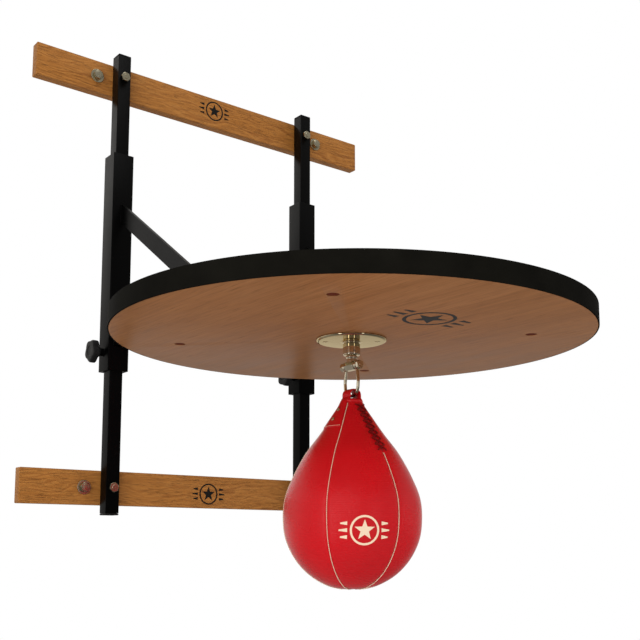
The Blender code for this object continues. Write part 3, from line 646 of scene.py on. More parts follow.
# Inset of each square from the tube's face, and its height over the tube's end, in millimetres
POST_PLUG_ROWS = ((0.3, -2.5), (0, -2.0), (0, -0.9), (0.4, -0.3), (0.9, 0), (3.0, 0), (3.6, -0.15),
                  (8.0, -0.15))
ARM_PLUG_ROWS = ((1.9, 1.5), (1.9, 0.0), (1.0, -0.6), (2.0, -1.1), (4.0, -1.2))


def square_loft(rows, width, corner, place):
    """Rounded squares joined in order; place(x, y, height) gives the points."""
    return loft([
        [place(p.x, p.y, height * MM) for p in rounded_square(width - 2 * inset * MM, corner(inset))]
        for inset, height in rows
    ])


def build_plugs():
    for side in SIDES:
        for end, sign in (("top", 1), ("bottom", -1)):
            node = f"{side}_post_{end}_plug"
            low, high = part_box(node)
            at = (low + high) / 2
            at.z = high.z if sign > 0 else low.z
            width = high.x - low.x

            def place(x, y, height, at=at, sign=sign):
                return at + Vector((x, y, sign * height))

            plate = square_loft(POST_PLUG_ROWS, width, lambda i: max(1.3 - i, 0.4) * MM, place)
            stem = square_loft(((1.8, -2.4), (1.8, -10.0)), width, lambda i: 1.0 * MM, place)
            make_piece(node + "_cap", join_parts([plate, stem]), PLASTIC, "wall_frame", [node], 35.0)


NUT_TURNS = {"upper_left": 8, "upper_right": 24, "lower_left": 41, "lower_right": 15}  # degrees


def build_frame_fasteners():
    for where, degrees in NUT_TURNS.items():
        turn = math.radians(degrees)
        low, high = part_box(f"{where}_post_nut")
        front = Vector(((low.x + high.x) / 2, high.y, (low.z + high.z) / 2))
        nut = hexagon(front, OUTWARD, high.x - low.x, 0.0, high.y - low.y, turn, both=True)
        make_piece(f"{where}_nut", nut, ZINC, "wall_frame", [f"{where}_post_nut"], 28.0)
        low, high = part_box(f"{where}_post_bolt")
        back = Vector((front.x, high.y, front.z))
        length = high.y - low.y
        head = in_metres([(0.1, 0), (5.5, 0.35), (8.9, 2.6), (8.6, 3.5), (4.0, 3.5),
                          (4.0, length / MM - 9)], [0, 2, 0.8, 0.3, 0.3, 0], 5)
        parts = [
            revolve(head, back, OUTWARD, 40),
            threaded_rod(back, OUTWARD, M8_RADIUS, length - 9.2 * MM, length, M8_PITCH, 0.55 * MM,
                         0.7 * MM),
        ]
        make_piece(f"{where}_carriage_bolt", join_parts(parts), ZINC, "wall_frame",
                   [f"{where}_post_bolt"], 35.0)
        build_lag(where, turn)


def build_lag(where, turn):
    low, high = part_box(f"{where}_lag_washer")
    at = (low + high) / 2
    radius, thick = (high.x - low.x) / 2, high.y - low.y
    ring = fillet([(radius, 0.0), (radius, thick), (4.4 * MM, thick), (4.4 * MM, 0.0)],
                  [0.3 * MM, 0.55 * MM, 0.3 * MM, 0.2 * MM], closed=True)
    washer = revolve(ring, (at.x, high.y, at.z), OUTWARD, 64, closed=True)
    make_piece(f"{where}_washer", washer, ZINC, "wall_frame", [f"{where}_lag_washer"], 35.0)
    low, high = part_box(f"{where}_lag_screw")
    height = 5.5 * MM
    base = Vector((at.x, low.y + height, at.z))
    crown = in_metres([(4.9, 5.45), (4.5, 5.75), (0.1, 5.85)], 0.2, 3)
    parts = [
        hexagon(base, OUTWARD, high.x - low.x, 0.0, height, turn * 1.7),
        revolve(crown, base, OUTWARD, 40),
        revolve([(M8_RADIUS, 0.2 * MM), (M8_RADIUS, base.y - high.y)], base, OUTWARD, 24),
    ]
    make_piece(f"{where}_lag", join_parts(parts), ZINC, "wall_frame", [f"{where}_lag_screw"], 28.0)


# ---- braces, bars and welds
def weld_bead(name, points, radius=1.5 * MM):
    """A rippled weld along a path."""
    path = smooth_path(points, 10)
    length = 0.0
    radii = []
    for i, point in enumerate(path):
        length += (point - path[i - 1]).length if i else 0.0
        radii.append(radius * (0.9 + 0.16 * math.sin(length / (1.1 * MM))))
    radii[0] = radii[-1] = radius * 0.35
    make_piece(name, sweep(path, radii, 8), POWDER, "carriage", (), 60.0)


def side_welds(name, edges, start, end, first=1, **size):
    """Straight beads along both sides of a bar, between two (y, z) places."""
    for k, x in enumerate(edges):
        a, b = Vector((x, *start)), Vector((x, *end))
        weld_bead(f"{name}_{first + k}", [a, (a + b) / 2, b], **size)


def build_braces():
    for side in SIDES:
        node = f"{side}_brace"
        finish_cad(node, POWDER)
        low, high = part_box(node)
        corners = [v.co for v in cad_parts[node].data.vertices]
        bottom = min(v.z for v in corners if v.y > high.y - 0.2 * MM)
        on_arm = [v.y for v in corners if v.z < low.z + 0.2 * MM]
        edges = (low.x, high.x)
        side_welds(node + "_weld", edges, (high.y, high.z - MM), (high.y, bottom + MM))
        side_welds(node + "_weld", edges, (min(on_arm) + MM, low.z), (max(on_arm) - MM, low.z), 3)


def build_arm_welds():
    for side in SIDES:
        low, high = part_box(f"{side}_arm")
        ring = [(x, high.y, z) for x, z in (
            (low.x, low.z), (low.x, high.z), (high.x, high.z), (high.x, low.z)
        )]
        weld_bead(f"{side}_arm_weld", fillet(ring, 1.5 * MM, 3))
        for place in PLACES:
            bar_low, bar_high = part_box(f"{place}_cross_bar")
            side_welds(f"{side}_{place}_bar_weld", (low.x, high.x),
                       (bar_low.y + 3 * MM, bar_high.z), (bar_high.y - 3 * MM, bar_high.z),
                       radius=1.3 * MM)


def build_arm_plugs():
    """Ribbed plastic plugs that close the arms' front ends."""
    for side in SIDES:
        low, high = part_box(f"{side}_arm")
        at = (low + high) / 2

        def place(x, y, depth, at=at, face=low.y):
            return Vector((at.x + x, face + depth, at.z + y))

        plug = square_loft(ARM_PLUG_ROWS, high.x - low.x, lambda i: 1.2 * MM, place)
        make_piece(f"{side}_arm_plug", plug, PLASTIC, "carriage", (), 35.0)


def finish_cad(node, material):
    """A CAD node whose shape is right keeps it and takes a detailed material."""
    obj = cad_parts[node]
    obj.data.materials.clear()
    obj.data.materials.append(material)


def dress_cad_nodes():
    for place in PLACES:
        finish_cad(f"{place}_cross_bar", POWDER)
    for side in SIDES:
        for level in LEVELS:
            finish_cad(f"{side}_{level}_guide_bush", PLASTIC)
    finish_cad("swivel_bearing", ZINC)
    finish_cad("bag_bladder", RUBBER)


# ---- rebound board
BOARD_BOLT_OUTLINE = (
    (0.0001, 0.30), (3.2, 0.30), (3.5, 0.75), (3.9, 0.30), (6.4, 0.30), (6.95, 0.8), (6.95, 3.0),
    (0.0001, 3.0),
)


def build_board():
    inner, top = BOARD_RADIUS - 1.75 * MM, BOARD_THICKNESS
    profile = fillet([(0.0001, 0.0), (inner, 0.0), (inner, top), (0.0001, top)], 0.2 * MM, 2)
    bolts = {}
    for place in PLACES:
        for side in SIDES:
            at = centre(f"{place}_{side}_board_bolt")
            bolts[f"{place}_{side}_board_bolt"] = (at.x, at.y, BOARD.z)
    holes = [(at, (0, 0, 1), 7.3 * MM, -0.01, 3.3 * MM) for at in bolts.values()]
    mesh = drilled(mesh_of(*revolve(profile, BOARD, segments=192)), holes)
    make_piece("board_wood", mesh, BOARD_WOOD, "carriage", ["rebound_board"], 30.0)
    outer, skin = BOARD_RADIUS, BOARD_RADIUS - 1.5 * MM
    band = fillet([(outer, 0.0), (outer, top), (skin, top), (skin, 0.0)],
                  [0.9 * MM, 1.1 * MM, 0.2 * MM, 0.3 * MM], 5, closed=True)
    make_piece("rim_edge_band", revolve(band, BOARD, segments=256, closed=True), RIM, "carriage",
               ["rim_band"], 45.0)
    head = in_metres(BOARD_BOLT_OUTLINE, 0.25, 3)
    for node, at in bolts.items():
        tip_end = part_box(node)[1].z - BOARD.z
        tip = threaded_rod(at, (0, 0, 1), M8_RADIUS, 24.0 * MM, tip_end, M8_PITCH, 0.5 * MM, 0.7 * MM)
        make_piece(node + "_cap", join_parts([revolve(head, at, segments=48), tip]), BROWN,
                   "carriage", [node], 35.0)


# ---- clamp screws and star knobs
KNOB_OUTLINE = (
    (4.3, 0), (6.9, 0), (7.4, 0.6), (7.6, 4.9), (9.6, 5.5), (14.2, 5.5), (15.7, 6.2), (16.0, 7.6),
    (16.0, 13.0), (15.6, 14.6), (14.0, 15.4), (9.4, 15.5), (7.6, 15.4), (6.9, 14.8), (0.01, 14.7),
)
KNOB_TURNS = {"left": math.radians(-90), "right": math.radians(72)}


def build_clamps():
    for side in SIDES:
        node = f"{side}_clamp_screw"
        low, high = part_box(node)
        at = (low + high) / 2
        rod = threaded_rod((high.x, at.y, at.z), LEFTWARD, M8_RADIUS, 0.0, high.x - low.x, M8_PITCH,
                           0.6 * MM, 0.8 * MM)
        make_piece(f"{side}_screw_thread", rod, ZINC, node, [node])

        def lobes(angle, radius, height, turn=KNOB_TURNS[side]):
            share = min(1.0, max(0.0, (radius - 8.0 * MM) / (6.0 * MM)))
            swing = 1.2 * MM * math.cos(5 * (angle - turn)) * share
            return radius * (1 + swing / (16.0 * MM))

        node = f"{side}_clamp_knob"
        profile = in_metres(KNOB_OUTLINE, [0] + [1.2] * 13 + [0])
        knob = revolve(profile, (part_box(node)[1].x, at.y, at.z), LEFTWARD, 120, shape=lobes)
        make_piece(f"{side}_star_knob", knob, PLASTIC, f"{side}_knob", [node], 50.0)


# ---- swivel and shackle
# Radius and height from the board's underside, in millimetres, and each corner's rounding
FLANGE_OUTLINE = ((0.01, -0.3), (44.6, -0.3), (45.0, -1.1), (44.5, -2.5), (42.6, -3.3),
                  (15.0, -3.3), (12.6, -3.5), (0.01, -3.5))
FLANGE_FILLETS = (0, 0.3, 0.5, 0.8, 1.2, 1.0, 0.5, 0)
CUP_OUTLINE = ((11.3, -3.6), (11.5, -4.3), (9.8, -4.6), (9.8, -5.2), (11.0, -6.6), (11.0, -20.9),
               (5.7, -20.9), (5.7, -17.0), (8.3, -17.0), (8.3, -3.6))
CUP_FILLETS = (0.2, 0.3, 0.2, 0.3, 0.5, 1.2, 0.4, 0, 0, 0.2)
STUD_OUTLINE = ((0.01, -6.2), (7.6, -6.2), (7.6, -11.5), (5.2, -11.5), (5.2, -21.6), (7.3, -21.6),
                (7.3, -24.2), (6.6, -25.2), (6.6, -31.0), (0.01, -31.0))
STUD_FILLETS = (0, 0.3, 0.3, 0.3, 0.3, 0.6, 0.6, 0.5, 0, 0)
PIN = BOARD - Vector((0, 0, 34.5 * MM))  # middle of the cross bolt
FLANGE_SCREW_TURNS = {1: math.radians(52), 2: math.radians(38)}


def build_swivel():
    flange = revolve(in_metres(FLANGE_OUTLINE, FLANGE_FILLETS), BOARD, segments=128)
    make_piece("flange_plate", flange, FLANGE, "carriage", ["swivel_flange"], 25.0)
    cup = in_metres(CUP_OUTLINE, CUP_FILLETS, closed=True)
    make_piece("swivel_cup", revolve(cup, BOARD, segments=72, closed=True), NICKEL, "carriage",
               ["swivel_housing"], 30.0)
    barrel = hexagon(PIN, OUTWARD, 11.5 * MM, -8.9 * MM, 8.9 * MM, 0.0, True, 0.95, 0.11, 96)
    stud = revolve(in_metres(STUD_OUTLINE, STUD_FILLETS), BOARD, segments=64)
    make_piece("stud_and_barrel", join_parts([stud, barrel]), NICKEL, "swivel", ["swivel_stud"], 30.0)
    bolt_low, bolt_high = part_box("swivel_cross_bolt")
    low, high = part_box("swivel_cross_nut")
    flats, head_height, radius = high.x - low.x, 4.0 * MM, 2.4 * MM
    at = Vector((PIN.x, bolt_high.y - head_height, PIN.z))
    parts = [
        hexagon(at, INTO_WALL, flats, 0.0, head_height, math.radians(12)),
        revolve([(radius, -0.2 * MM), (radius, 24 * MM)], at, OUTWARD, 32),
        threaded_rod(at, OUTWARD, radius, 23.5 * MM, at.y - bolt_low.y, 0.8 * MM, 0.35 * MM, 0.5 * MM),
    ]
    make_piece("cross_bolt", join_parts(parts), NICKEL, "swivel", ["swivel_cross_bolt"], 28.0)
    nut_at = Vector((PIN.x, high.y, PIN.z))
    nut = hexagon(nut_at, OUTWARD, flats, 0.0, high.y - low.y, math.radians(20), True)
    make_piece("cross_nut", nut, NICKEL, "swivel", ["swivel_cross_nut"], 28.0)
    for number, turn in FLANGE_SCREW_TURNS.items():
        node = f"flange_screw_{number}"
        at = centre(node)
        at.z = BOARD.z - 3.3 * MM
        head = fillet([(0.0, 0.42), (2.4, 0.36), (3.9, 0.06), (3.9, -0.25), (0.0, -0.25)], 0.3, 3)
        profile = [(max(p.x, 0.01) * MM, p.y * MM) for p in head]
        mesh = mesh_of(*revolve(profile, at, (0, 0, -1), 40))
        mesh = cut_by(mesh, [slot_cutter(at, turn, 3.6 * MM, 0.55 * MM)])
        make_piece(f"{node}_head", mesh, FLANGE, "carriage", [node], 35.0)


EYE_Y = 11.3  # the shackle, in millimetres from the cross bolt's middle
BOW_RADIUS = 12.6
BOW_DROP = 25.9
SHACKLE_LEG = ((EYE_Y, -3.6), (11.35, -6.5), (11.7, -10.5), (12.5, -17.0), (12.9, -21.5))


def build_shackle():
    arc = [(BOW_RADIUS * math.cos(a), BOW_RADIUS * math.sin(a) - BOW_DROP)
           for a in (math.radians(-10 * k) for k in range(19))]
    outline = [*SHACKLE_LEG, *arc, *((-y, z) for y, z in reversed(SHACKLE_LEG))]
    path = smooth_path([PIN + Vector((0, y * MM, z * MM)) for y, z in outline], 4)
    parts = [sweep(path, 2.1 * MM, 20)]
    ring = in_metres([(2.7, -2.1), (6.0, -2.1), (6.0, 2.1), (2.7, 2.1)], [0.4, 1.6, 1.6, 0.4], 5, True)
    for y in (-EYE_Y, EYE_Y):
        parts.append(revolve(ring, PIN + Vector((0, y * MM, 0)), INTO_WALL, 40, closed=True))
    make_piece("shackle_loop", join_parts(parts), NICKEL, "shackle", ["shackle"], 50.0)


# ---- speed bag
# Radius against depth below the board's underside, in millimetres
BAG_OUTLINE = [
    (6.5, 76.8), (10.2, 77.5), (13.0, 80.5), (17.6, 88.3), (27.7, 103.5), (40.5, 122.4),
    (59.0, 147.6), (75.7, 179.0), (84.8, 204.0), (86.5, 229.0), (83.0, 253.5), (71.0, 278.0),
    (53.6, 296.4), (32.3, 308.7), (16.5, 312.8), (0.02, 314.0),
]
BAG_CURVE = smooth_path([Vector((r * MM, -d * MM, 0)) for r, d in BAG_OUTLINE], 12)
SEAMS = [math.radians(a) for a in (-90, -150, 150, 90, 30, -30)]
SEAM_PINCH = 0.9 * MM
SEAM_WIDTH = 2.2 * MM
PANEL_PUFF = 0.5 * MM
LACE_BOTTOM = -148.5 * MM  # where the front seam's stitching takes over from the lace


def bag_radius(height):
    """Radius of the bag's smooth outline at a height below the board, counted negative."""
    for upper, lower in zip(BAG_CURVE, BAG_CURVE[1:]):
        if upper.y >= height >= lower.y:
            part = (upper.y - height) / (upper.y - lower.y)
            return upper.x + part * (lower.x - upper.x)
    return BAG_CURVE[0].x if height > BAG_CURVE[0].y else 0.0


def around_bag(radius, angle, height):
    return BOARD + Vector((radius * math.cos(angle), radius * math.sin(angle), height))


def seam_distance(angle, radius):
    """Arc length from the nearest seam, and the share of the way to the panel's middle."""
    gap = min(abs((angle - seam + math.pi) % (2 * math.pi) - math.pi) for seam in SEAMS)
    return gap * radius, gap / math.radians(30)


def bag_relief(angle, radius, height):
    """How far the leather stands out from the outline: pinched at the seams, full between them."""
    distance, share = seam_distance(angle, radius)
    pinch = SEAM_PINCH * math.exp(-((distance / SEAM_WIDTH) ** 2))
    puff = PANEL_PUFF * math.sin(math.pi / 2 * share) ** 2 * min(1.0, radius / 0.05)
    return puff - pinch * min(1.0, radius / 0.012) - 0.25 * MM


def bag_point(angle, height, lift=0.0):
    """A point on the bag's leather, raised by lift along the surface's normal."""
    step = 0.5 * MM
    radius = bag_radius(height)
    slope = (bag_radius(height + step) - bag_radius(height - step)) / (2 * step)
    out = Vector((math.cos(angle), math.sin(angle), -slope)).normalized()
    base = around_bag(radius + bag_relief(angle, radius, height), angle, height)
    return base + lift * out, out


THROAT = ((5.6, -82.0), (5.9, -78.5), (6.1, -77.2))  # the leather's edge, turned in


def build_bag_shell():
    """Outer leather as six sewn panels, turned in at the throat."""
    angles = []
    for k in range(6):
        for t in (j / 32 for j in range(32)):
            eased = t - 0.10 * math.sin(2 * math.pi * t)
            angles.append(FRONT + math.radians(60) * (k + eased))
    rows = [(r * MM, z * MM) for r, z in THROAT] + [(p.x, p.y) for p in BAG_CURVE]
    loops = []
    for i, (radius, height) in enumerate(rows):
        loop = []
        for angle in angles:
            relief = bag_relief(angle, radius, height) if i > len(THROAT) else 0.0
            loop.append(around_bag(max(radius + relief, 0.02 * MM), angle, height))
        loops.append(loop)
    verts, faces = loft(loops)
    del faces[-2]  # the throat stays open
    bag = make_piece("bag_leather", (verts, faces), RED, "bag", ["bag_shell"], 0)


def outline_walk(top, bottom, step):
    """Heights between top and bottom, one every step of arc length."""
    heights = []
    due = 0.0
    for upper, lower in zip(BAG_CURVE, BAG_CURVE[1:]):
        piece = (lower - upper).length
        while due <= piece:
            height = upper.y + (lower.y - upper.y) * due / piece
            if bottom <= height <= top:
                heights.append(height)
            due += step
        due -= piece
    return heights


def stitch(start, end, out, radius):
    """One stitch: a short thread that rises from the leather and dips back in."""
    middle = (start + end) / 2 + out * radius * 0.9
    path = [start - out * radius * 0.8, start.lerp(middle, 0.5) + out * radius * 0.3, middle,
            end.lerp(middle, 0.5) + out * radius * 0.3, end - out * radius * 0.8]
    return sweep(path, [radius * 0.8, radius, radius, radius, radius * 0.8], 6)


def build_seams():
    """Cream thread down every seam, below the lacing on the front one, over a folded welt coloured
    darker as painted shade.
    """
    stitches = []
    welts = []
    for seam in SEAMS:
        top = LACE_BOTTOM if seam == FRONT else -83.5 * MM
        spots = [bag_point(seam, h) for h in outline_walk(top, -313.4 * MM, 2.35 * MM)]
        for (a, out), (b, _) in zip(spots, spots[1:]):
            gap, lift = (b - a) * 0.10, out * 0.35 * MM
            stitches.append(stitch(a + gap + lift, b - gap + lift, out, 0.46 * MM))
        fine = [bag_point(seam, h, -0.15 * MM)[0] for h in outline_walk(top, -313.7 * MM, 3 * MM)]
        welts.append(sweep(fine, 0.55 * MM, 8))
    make_piece("seam_thread", join_parts(stitches), CREAM, "bag", (), 0)
    make_piece("seam_welts", join_parts(welts), SEAM_SHADE_RED, "bag", (), 0)


COLLAR_STEPS = 16


def build_collar():
    """A rolled leather collar round the throat, under the strap, and the fold inside it, coloured near
    black as painted shade of the hole.
    """
    turns = [2 * math.pi * k / COLLAR_STEPS for k in range(COLLAR_STEPS)]
    outline = [(12.6 * MM + 1.5 * MM * math.cos(a), -80.6 * MM + 2.4 * MM * math.sin(a)) for a in turns]
    make_piece("throat_collar", revolve(outline, BOARD, segments=96, closed=True), RED, "bag", (), 0)
    fold = in_metres([(0.01, -76.1), (5.0, -76.2), (9.6, -77.3), (11.2, -79.4), (0.01, -79.8)],
                     [0, 1.5, 1.5, 0.6, 0])
    make_piece("throat_fold", revolve(fold, BOARD, segments=48), THROAT_SHADE, "bag")


ARCH_RADIUS = 8.1 * MM
ARCH_SQUARENESS = 0.8
STRAP_ARCH = [
    Vector((ARCH_RADIUS * max(math.cos(a), 0) ** ARCH_SQUARENESS,
            ARCH_RADIUS * math.sin(a) ** ARCH_SQUARENESS - 73.6 * MM))
    for a in (math.radians(90 - 9 * k) for k in range(11))
]
STRAP_FOOT = [Vector((r * MM, z * MM)) for r, z in ((8.1, -75.2), (8.4, -76.8), (10.2, -78.2))]
STRAP_HALF_WIDTH = 8.0 * MM
STRAP_THICKNESS = 2.4 * MM
PATCH_SPREAD = math.radians(27.5)
PATCH_BOTTOM = -116.3 * MM
PATCH_THICKNESS = 1.1 * MM


def strap_loop_row(path, index, side, columns):
    """One cross-section of the strap's arch: full in the middle, thin at its edges."""
    before, after = path[max(index - 1, 0)], path[min(index + 1, len(path) - 1)]
    along = after - before if index else Vector((1.0, 0.0))
    normal = Vector((-along.y, along.x)).normalized()
    outer, inner = [], []
    for k in range(columns):
        t = 2 * k / (columns - 1) - 1
        flare = 0.9 * MM * t * t
        middle = Vector((side * path[index].x, STRAP_HALF_WIDTH * t, path[index].y))
        out = Vector((side * normal.x, 0.0, normal.y))
        half = STRAP_THICKNESS / 2 * (1 - 0.72 * abs(t) ** 4)
        outer.append(BOARD + middle + out * (half + flare * 0.4))
        inner.append(BOARD + middle - out * (half - flare * 0.4))
    return outer + inner[::-1]


def patch_row(height, side, columns):
    """One cross-section of the patch that the strap widens into below the collar."""
    facing = 0.0 if side > 0 else math.pi  # the strap's feet lie to the right and the left
    grown = min(1.0, max(0.0, (-height - 80 * MM) / (9 * MM)))
    spread = min(PATCH_SPREAD, STRAP_HALF_WIDTH / bag_radius(height)) * (1 - grown)
    spread += PATCH_SPREAD * grown
    fade = min(1.0, (height - PATCH_BOTTOM) / (0.8 * MM))
    thick = PATCH_THICKNESS + (STRAP_THICKNESS * 0.8 - PATCH_THICKNESS) * (1 - grown)
    outer, inner = [], []
    for k in range(columns):
        t = 2 * k / (columns - 1) - 1
        edge = 1 - 0.55 * max(0.0, abs(t) - 0.9) / 0.1
        lift = (0.25 * MM + thick * edge) * (0.35 + 0.65 * fade)
        outer.append(bag_point(facing + spread * t * side, height, lift)[0])
        inner.append(bag_point(facing + spread * t * side, height, 0.05 * MM)[0])
    return outer + inner[::-1]


RIVET_OUTLINE = ((2.5, -0.4), (2.5, 0.35), (1.9, 1.0), (1.2, 1.05), (0.9, 0.5), (0.1, 0.45))
RIVET_HEIGHTS = (-92.8 * MM, -105.5 * MM)
PATCH_STITCHES = 16
PATCH_STITCH_REACH = 53  # degrees of the bag's girth


def build_strap():
    """Hanging strap: a loop over the shackle's bow whose ends widen into patches on both sides."""
    columns = 21
    path = STRAP_ARCH + STRAP_FOOT
    heights = [(-79.4 - 1.23 * k) * MM for k in range(30)] + [PATCH_BOTTOM]
    halves = []
    for side in (-1, 1):
        rows = [strap_loop_row(path, i, side, columns) for i in range(len(path))]
        halves.append(rows + [patch_row(height, side, columns) for height in heights])
    loops = halves[0][:0:-1] + halves[1]
    strap = make_piece("hanging_strap", loft(loops), RED, "bag", ["bag_strap"], 50.0)
    rivets = []
    stitches = []
    dome = in_metres(RIVET_OUTLINE, 0.3, 3)
    for facing in (0.0, math.pi):
        for height in RIVET_HEIGHTS:
            at, out = bag_point(facing, height, 1.3 * MM)
            rivets.append(revolve(dome, at, out, 28))
        for k in range(PATCH_STITCHES):
            (start, out), (end, _) = [
                bag_point(facing + math.radians(PATCH_STITCH_REACH * (share - 0.5)), -114.7 * MM,
                          1.35 * MM)
                for share in ((k + 0.1) / PATCH_STITCHES, (k + 0.9) / PATCH_STITCHES)
            ]
            stitches.append(stitch(start, end, out, 0.24 * MM))
    make_piece("strap_rivets", join_parts(rivets), BRASS, "bag")
    make_piece("patch_thread", join_parts(stitches), CREAM, "bag", (), 0)


LACE_TOP = -85.5 * MM
LACE_PITCH = 7.6 * MM
LACE_CROSSINGS = 8
LACE_REACH = 7.0 * MM


def lace_strand(row, side, over):
    """One leather strand from an eyelet on one side, across the slit, to the next one down."""
    points, ups = [], []
    steps = 12
    for k in range(steps + 1):
        t = k / steps
        height = LACE_TOP - LACE_PITCH * (row + t)
        rise = math.sin(math.pi * t)
        lift = -0.7 * MM + (1.9 * MM + over) * min(1.0, 2.6 * rise) ** 0.7
        at, out = beside_slit(side * LACE_REACH * (1 - 2 * t), height, lift)
        points.append(at)
        ups.append(out)
    return sweep(points, 1.05 * MM, 10, squash=0.75, up=ups)


def beside_slit(across, height, lift):
    """A point on the bag at a distance from the front slit."""
    return bag_point(FRONT + across / max(bag_radius(height), 9 * MM), height, lift)


def build_lace():
    """Leather lace crossed over the front slit, and the slit's two edges, coloured darker as painted
    shade.
    """
    strands = []
    for row in range(LACE_CROSSINGS):
        strands += [lace_strand(row, -1, 0.0), lace_strand(row, 1, 1.0 * MM)]
    make_piece("front_lacing", join_parts(strands), LACE, "bag", ["bag_lace"], 60.0)
    lips = []
    bottom = LACE_TOP - LACE_PITCH * LACE_CROSSINGS
    for side in (-1, 1):
        path, ups = [], []
        for k in range(41):
            height = LACE_TOP + 1.5 * MM + (bottom - LACE_TOP - 3.0 * MM) * k / 40
            taper = min(1.0, (height - bottom + 3.5 * MM) / (5 * MM))
            at, out = beside_slit(side * 0.95 * MM * taper, height, 0.05 * MM)
            path.append(at)
            ups.append(out)
        lips.append(sweep(path, 0.75 * MM, 8, squash=0.8, up=ups))
    make_piece("lace_slit_edges", join_parts(lips), SEAM_SHADE_RED, "bag")


# ---- generic emblem
def circle_points(radii, start=0.0):
    """Points spaced evenly round the origin, each at its own radius."""
    angles = [start + 2 * math.pi * k / len(radii) for k in range(len(radii))]
    return [(r * math.cos(a), r * math.sin(a)) for r, a in zip(radii, angles)]


def emblem_shapes(width):
    """Flat shapes as (outline, hole outline or None): a star in a ring between tapered bars."""
    unit = width / 10
    ring = circle_points([2.85 * unit] * 48)
    shapes = [
        (circle_points([2.05 * unit, 0.84 * unit] * 5, math.pi / 2), None),
        (ring, [(x * 0.86, y * 0.86) for x, y in ring]),
    ]
    start, half = 3.35 * unit, 0.36 * unit
    tip = half * 0.35
    for sign in (-1, 1):
        for y, end in ((1.3 * unit, 4.7 * unit), (0.0, 5.0 * unit), (-1.3 * unit, 4.7 * unit)):
            shapes.append(([(sign * start, y + half), (sign * start, y - half),
                            (sign * end, y - tip), (sign * end, y + tip)], None))
    return shapes


def emblem_mesh(width, place, thickness, cell):
    """The emblem cut fine enough to follow a curved face; place(x, y, lift) gives row points."""
    parts = []
    for outline, hole in emblem_shapes(width):
        curve = bpy.data.curves.new("emblem", "CURVE")
        curve.dimensions = "2D"
        curve.fill_mode = "BOTH"
        for loop in filter(None, (outline, hole)):
            spline = curve.splines.new("POLY")
            spline.points.add(len(loop) - 1)
            for point, (x, y) in zip(spline.points, loop):
                point.co = (x, y, 0, 1)
            spline.use_cyclic_u = True
        obj = add_object("emblem", curve)
        flat = evaluated_mesh(obj)
        bpy.data.objects.remove(obj, do_unlink=True)
        bm = bmesh.new()
        bm.from_mesh(flat)
        bmesh.ops.remove_doubles(bm, verts=bm.verts, dist=1e-6)
        steps = int(width / 2 / cell) + 1
        for normal in (Vector((1, 0, 0)), Vector((0, 1, 0))):
            for k in range(-steps, steps + 1):
                bmesh.ops.bisect_plane(bm, geom=bm.verts[:] + bm.edges[:] + bm.faces[:],
                                       plane_co=normal * k * cell, plane_no=normal, dist=1e-7)
        grown = bmesh.ops.extrude_face_region(bm, geom=bm.faces[:])["geom"]
        raised = {item for item in grown if isinstance(item, bmesh.types.BMVert)}
        bm.verts.index_update()
        verts = [place(v.co.x, v.co.y, thickness if v in raised else -thickness) for v in bm.verts]
        parts.append((verts, [tuple(v.index for v in f.verts) for f in bm.faces]))
        bm.free()
    return join_parts(parts)


def build_emblems():
    for level, raised in (("upper", 3 * MM), ("lower", -3 * MM)):
        low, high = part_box(f"{level}_wall_rail")
        middle = (low + high) / 2
        rail_spot = Vector((middle.x, low.y, middle.z + raised))

        def on_rail(x, y, lift, spot=rail_spot):
            return spot + Vector((x, -lift, y))

        mark = emblem_mesh(58 * MM, on_rail, 0.12 * MM, 20 * MM)
        make_piece(f"{level}_rail_mark", mark, MARK_BLACK, "wall_frame", (), 30.0)

    board_spot = BOARD + Vector((-1 * MM, -143 * MM, 0))

    def on_board(x, y, lift):
        return board_spot + Vector((x, -y, -lift))

    mark = emblem_mesh(112 * MM, on_board, 0.12 * MM, 30 * MM)
    make_piece("board_mark", mark, MARK_BLACK, "carriage", (), 30.0)

    def on_bag(x, y, lift):
        height = y - 243 * MM
        return bag_point(math.radians(-120) + x / bag_radius(height), height, lift + 0.05 * MM)[0]

    mark = emblem_mesh(61 * MM, on_bag, 0.14 * MM, 2.5 * MM)
    make_piece("bag_mark", mark, MARK_CREAM, "bag", (), 60.0)


# ---- floor and light
FLOOR_RADIUS = 8.0
FLOOR_HEIGHT = -1.9
FLOOR_THICKNESS = 0.02


def build_floor():
    profile = [(0.01, FLOOR_HEIGHT - FLOOR_THICKNESS), (FLOOR_RADIUS, FLOOR_HEIGHT - FLOOR_THICKNESS),
               (FLOOR_RADIUS, FLOOR_HEIGHT), (0.01, FLOOR_HEIGHT)]
    mesh = mesh_of(*revolve(profile, (0, 0, 0), segments=96))
    floor = add_object("floor", mesh)
    s = Shader("floor")
    mottle = s.noise(s.coords, 3.0, 4.0)
    mesh.materials.append(s.finish(
        Base_Color=s.mix(s.span(mottle, 0.3, 0.7), (0.84, 0.84, 0.84), (0.80, 0.80, 0.80)),
        Roughness=0.9, Specular_IOR_Level=0.1))
    floor.visible_glossy = False


def add_softbox(name, location, width, radiance, colour=(1.0, 1.0, 1.0), mirrored=True, height=0):
    """A light of a given brightness that faces the object; mirrored ones show in gloss."""
    light = bpy.data.lights.new(name, "AREA")
    light.shape = "RECTANGLE"
    light.size = width
    light.size_y = height or width
    light.energy = radiance * math.pi * width * (height or width)
    light.color = colour
    obj = add_object(name, light)
    obj.location = location
    facing = OBJECT_MIDDLE - Vector(location)
    obj.rotation_euler = facing.to_track_quat("-Z", "Y").to_euler()
    obj.visible_camera = False
    obj.visible_glossy = mirrored


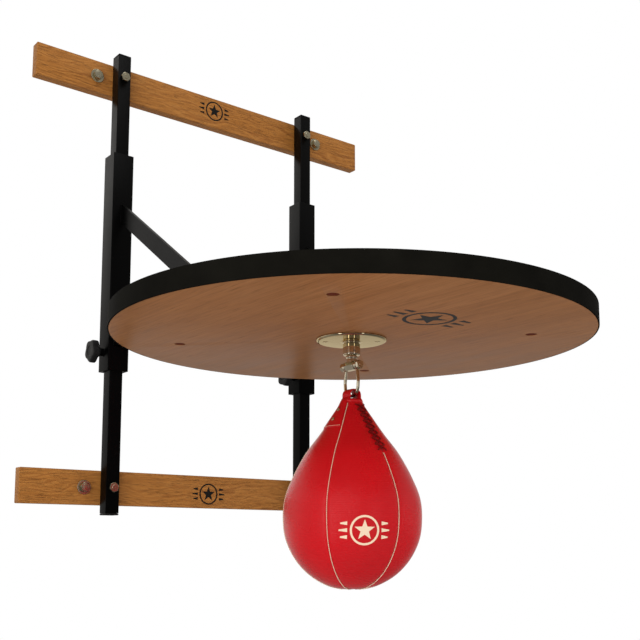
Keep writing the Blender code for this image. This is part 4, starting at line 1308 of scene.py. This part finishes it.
def build_world():
    """White where the camera sees it; as a light, soft and a little brighter behind the object."""
    world = bpy.data.worlds.new("studio")
    bpy.context.scene.world = world
    world.use_nodes = True
    w = Nodes(world.node_tree)
    split = w.node("SeparateXYZ", Vector=w.node("TexCoord").outputs["Generated"])
    across = w.node("MapRange", Value=split.outputs["Y"], From_Min=-1.0)
    falloff = w.node("MapRange", Value=split.outputs["Z"], From_Min=-0.45, From_Max=0.12, To_Min=0.28)
    reflected = w.tree.nodes["Background"]
    w.feed(reflected.inputs["Color"], w.ramp(across.outputs["Result"], WORLD_LIGHT))
    w.feed(reflected.inputs["Strength"], falloff.outputs["Result"])
    path = w.node("LightPath")
    light = w.node("Background", Color=WORLD_DIFFUSE)
    white = w.node("Background", Color=(1.0, 1.0, 1.0))
    for test, shown in (("Is Glossy Ray", reflected), ("Is Camera Ray", white)):
        choice = w.node("MixShader", Fac=path.outputs[test])
        w.feed(choice.inputs[1], light.outputs[0])
        w.feed(choice.inputs[2], shown.outputs[0])
        light = choice
    w.feed(w.tree.nodes["World Output"].inputs["Surface"], light.outputs[0])


WORLD_LIGHT = (
    (0.08, (0.24, 0.235, 0.23)), (0.52, (0.32, 0.31, 0.30)), (0.92, (0.98, 0.95, 0.91)),
)
WORLD_DIFFUSE = (0.66, 0.65, 0.64)
OBJECT_MIDDLE = Vector((-0.02, -0.35, -0.45))

build_rails()
build_tubes()
build_plugs()
build_frame_fasteners()
build_braces()
build_arm_welds()
build_arm_plugs()
dress_cad_nodes()
build_board()
build_clamps()
build_swivel()
build_shackle()
build_bag_shell()
build_seams()
build_collar()
build_strap()
build_lace()
build_emblems()
build_floor()
build_world()
add_softbox("key", (-3.0, -2.6, 0.2), 3.0, 3.0, (1.0, 0.98, 0.95), mirrored=False)
add_softbox("fill", (3.2, -2.0, 0.0), 2.4, 2.5, mirrored=False)
add_softbox("overhead", (0.0, -1.0, 2.6), 2.0, 1.0)
add_softbox("left_strip", (-2.9, -1.0, -0.9), 0.5, 2.2, height=2.4)
add_softbox("front_strip", (-0.1, -3.4, -1.0), 0.35, 1.8, height=2.0)
bpy.context.scene.view_settings.view_transform = "Standard"
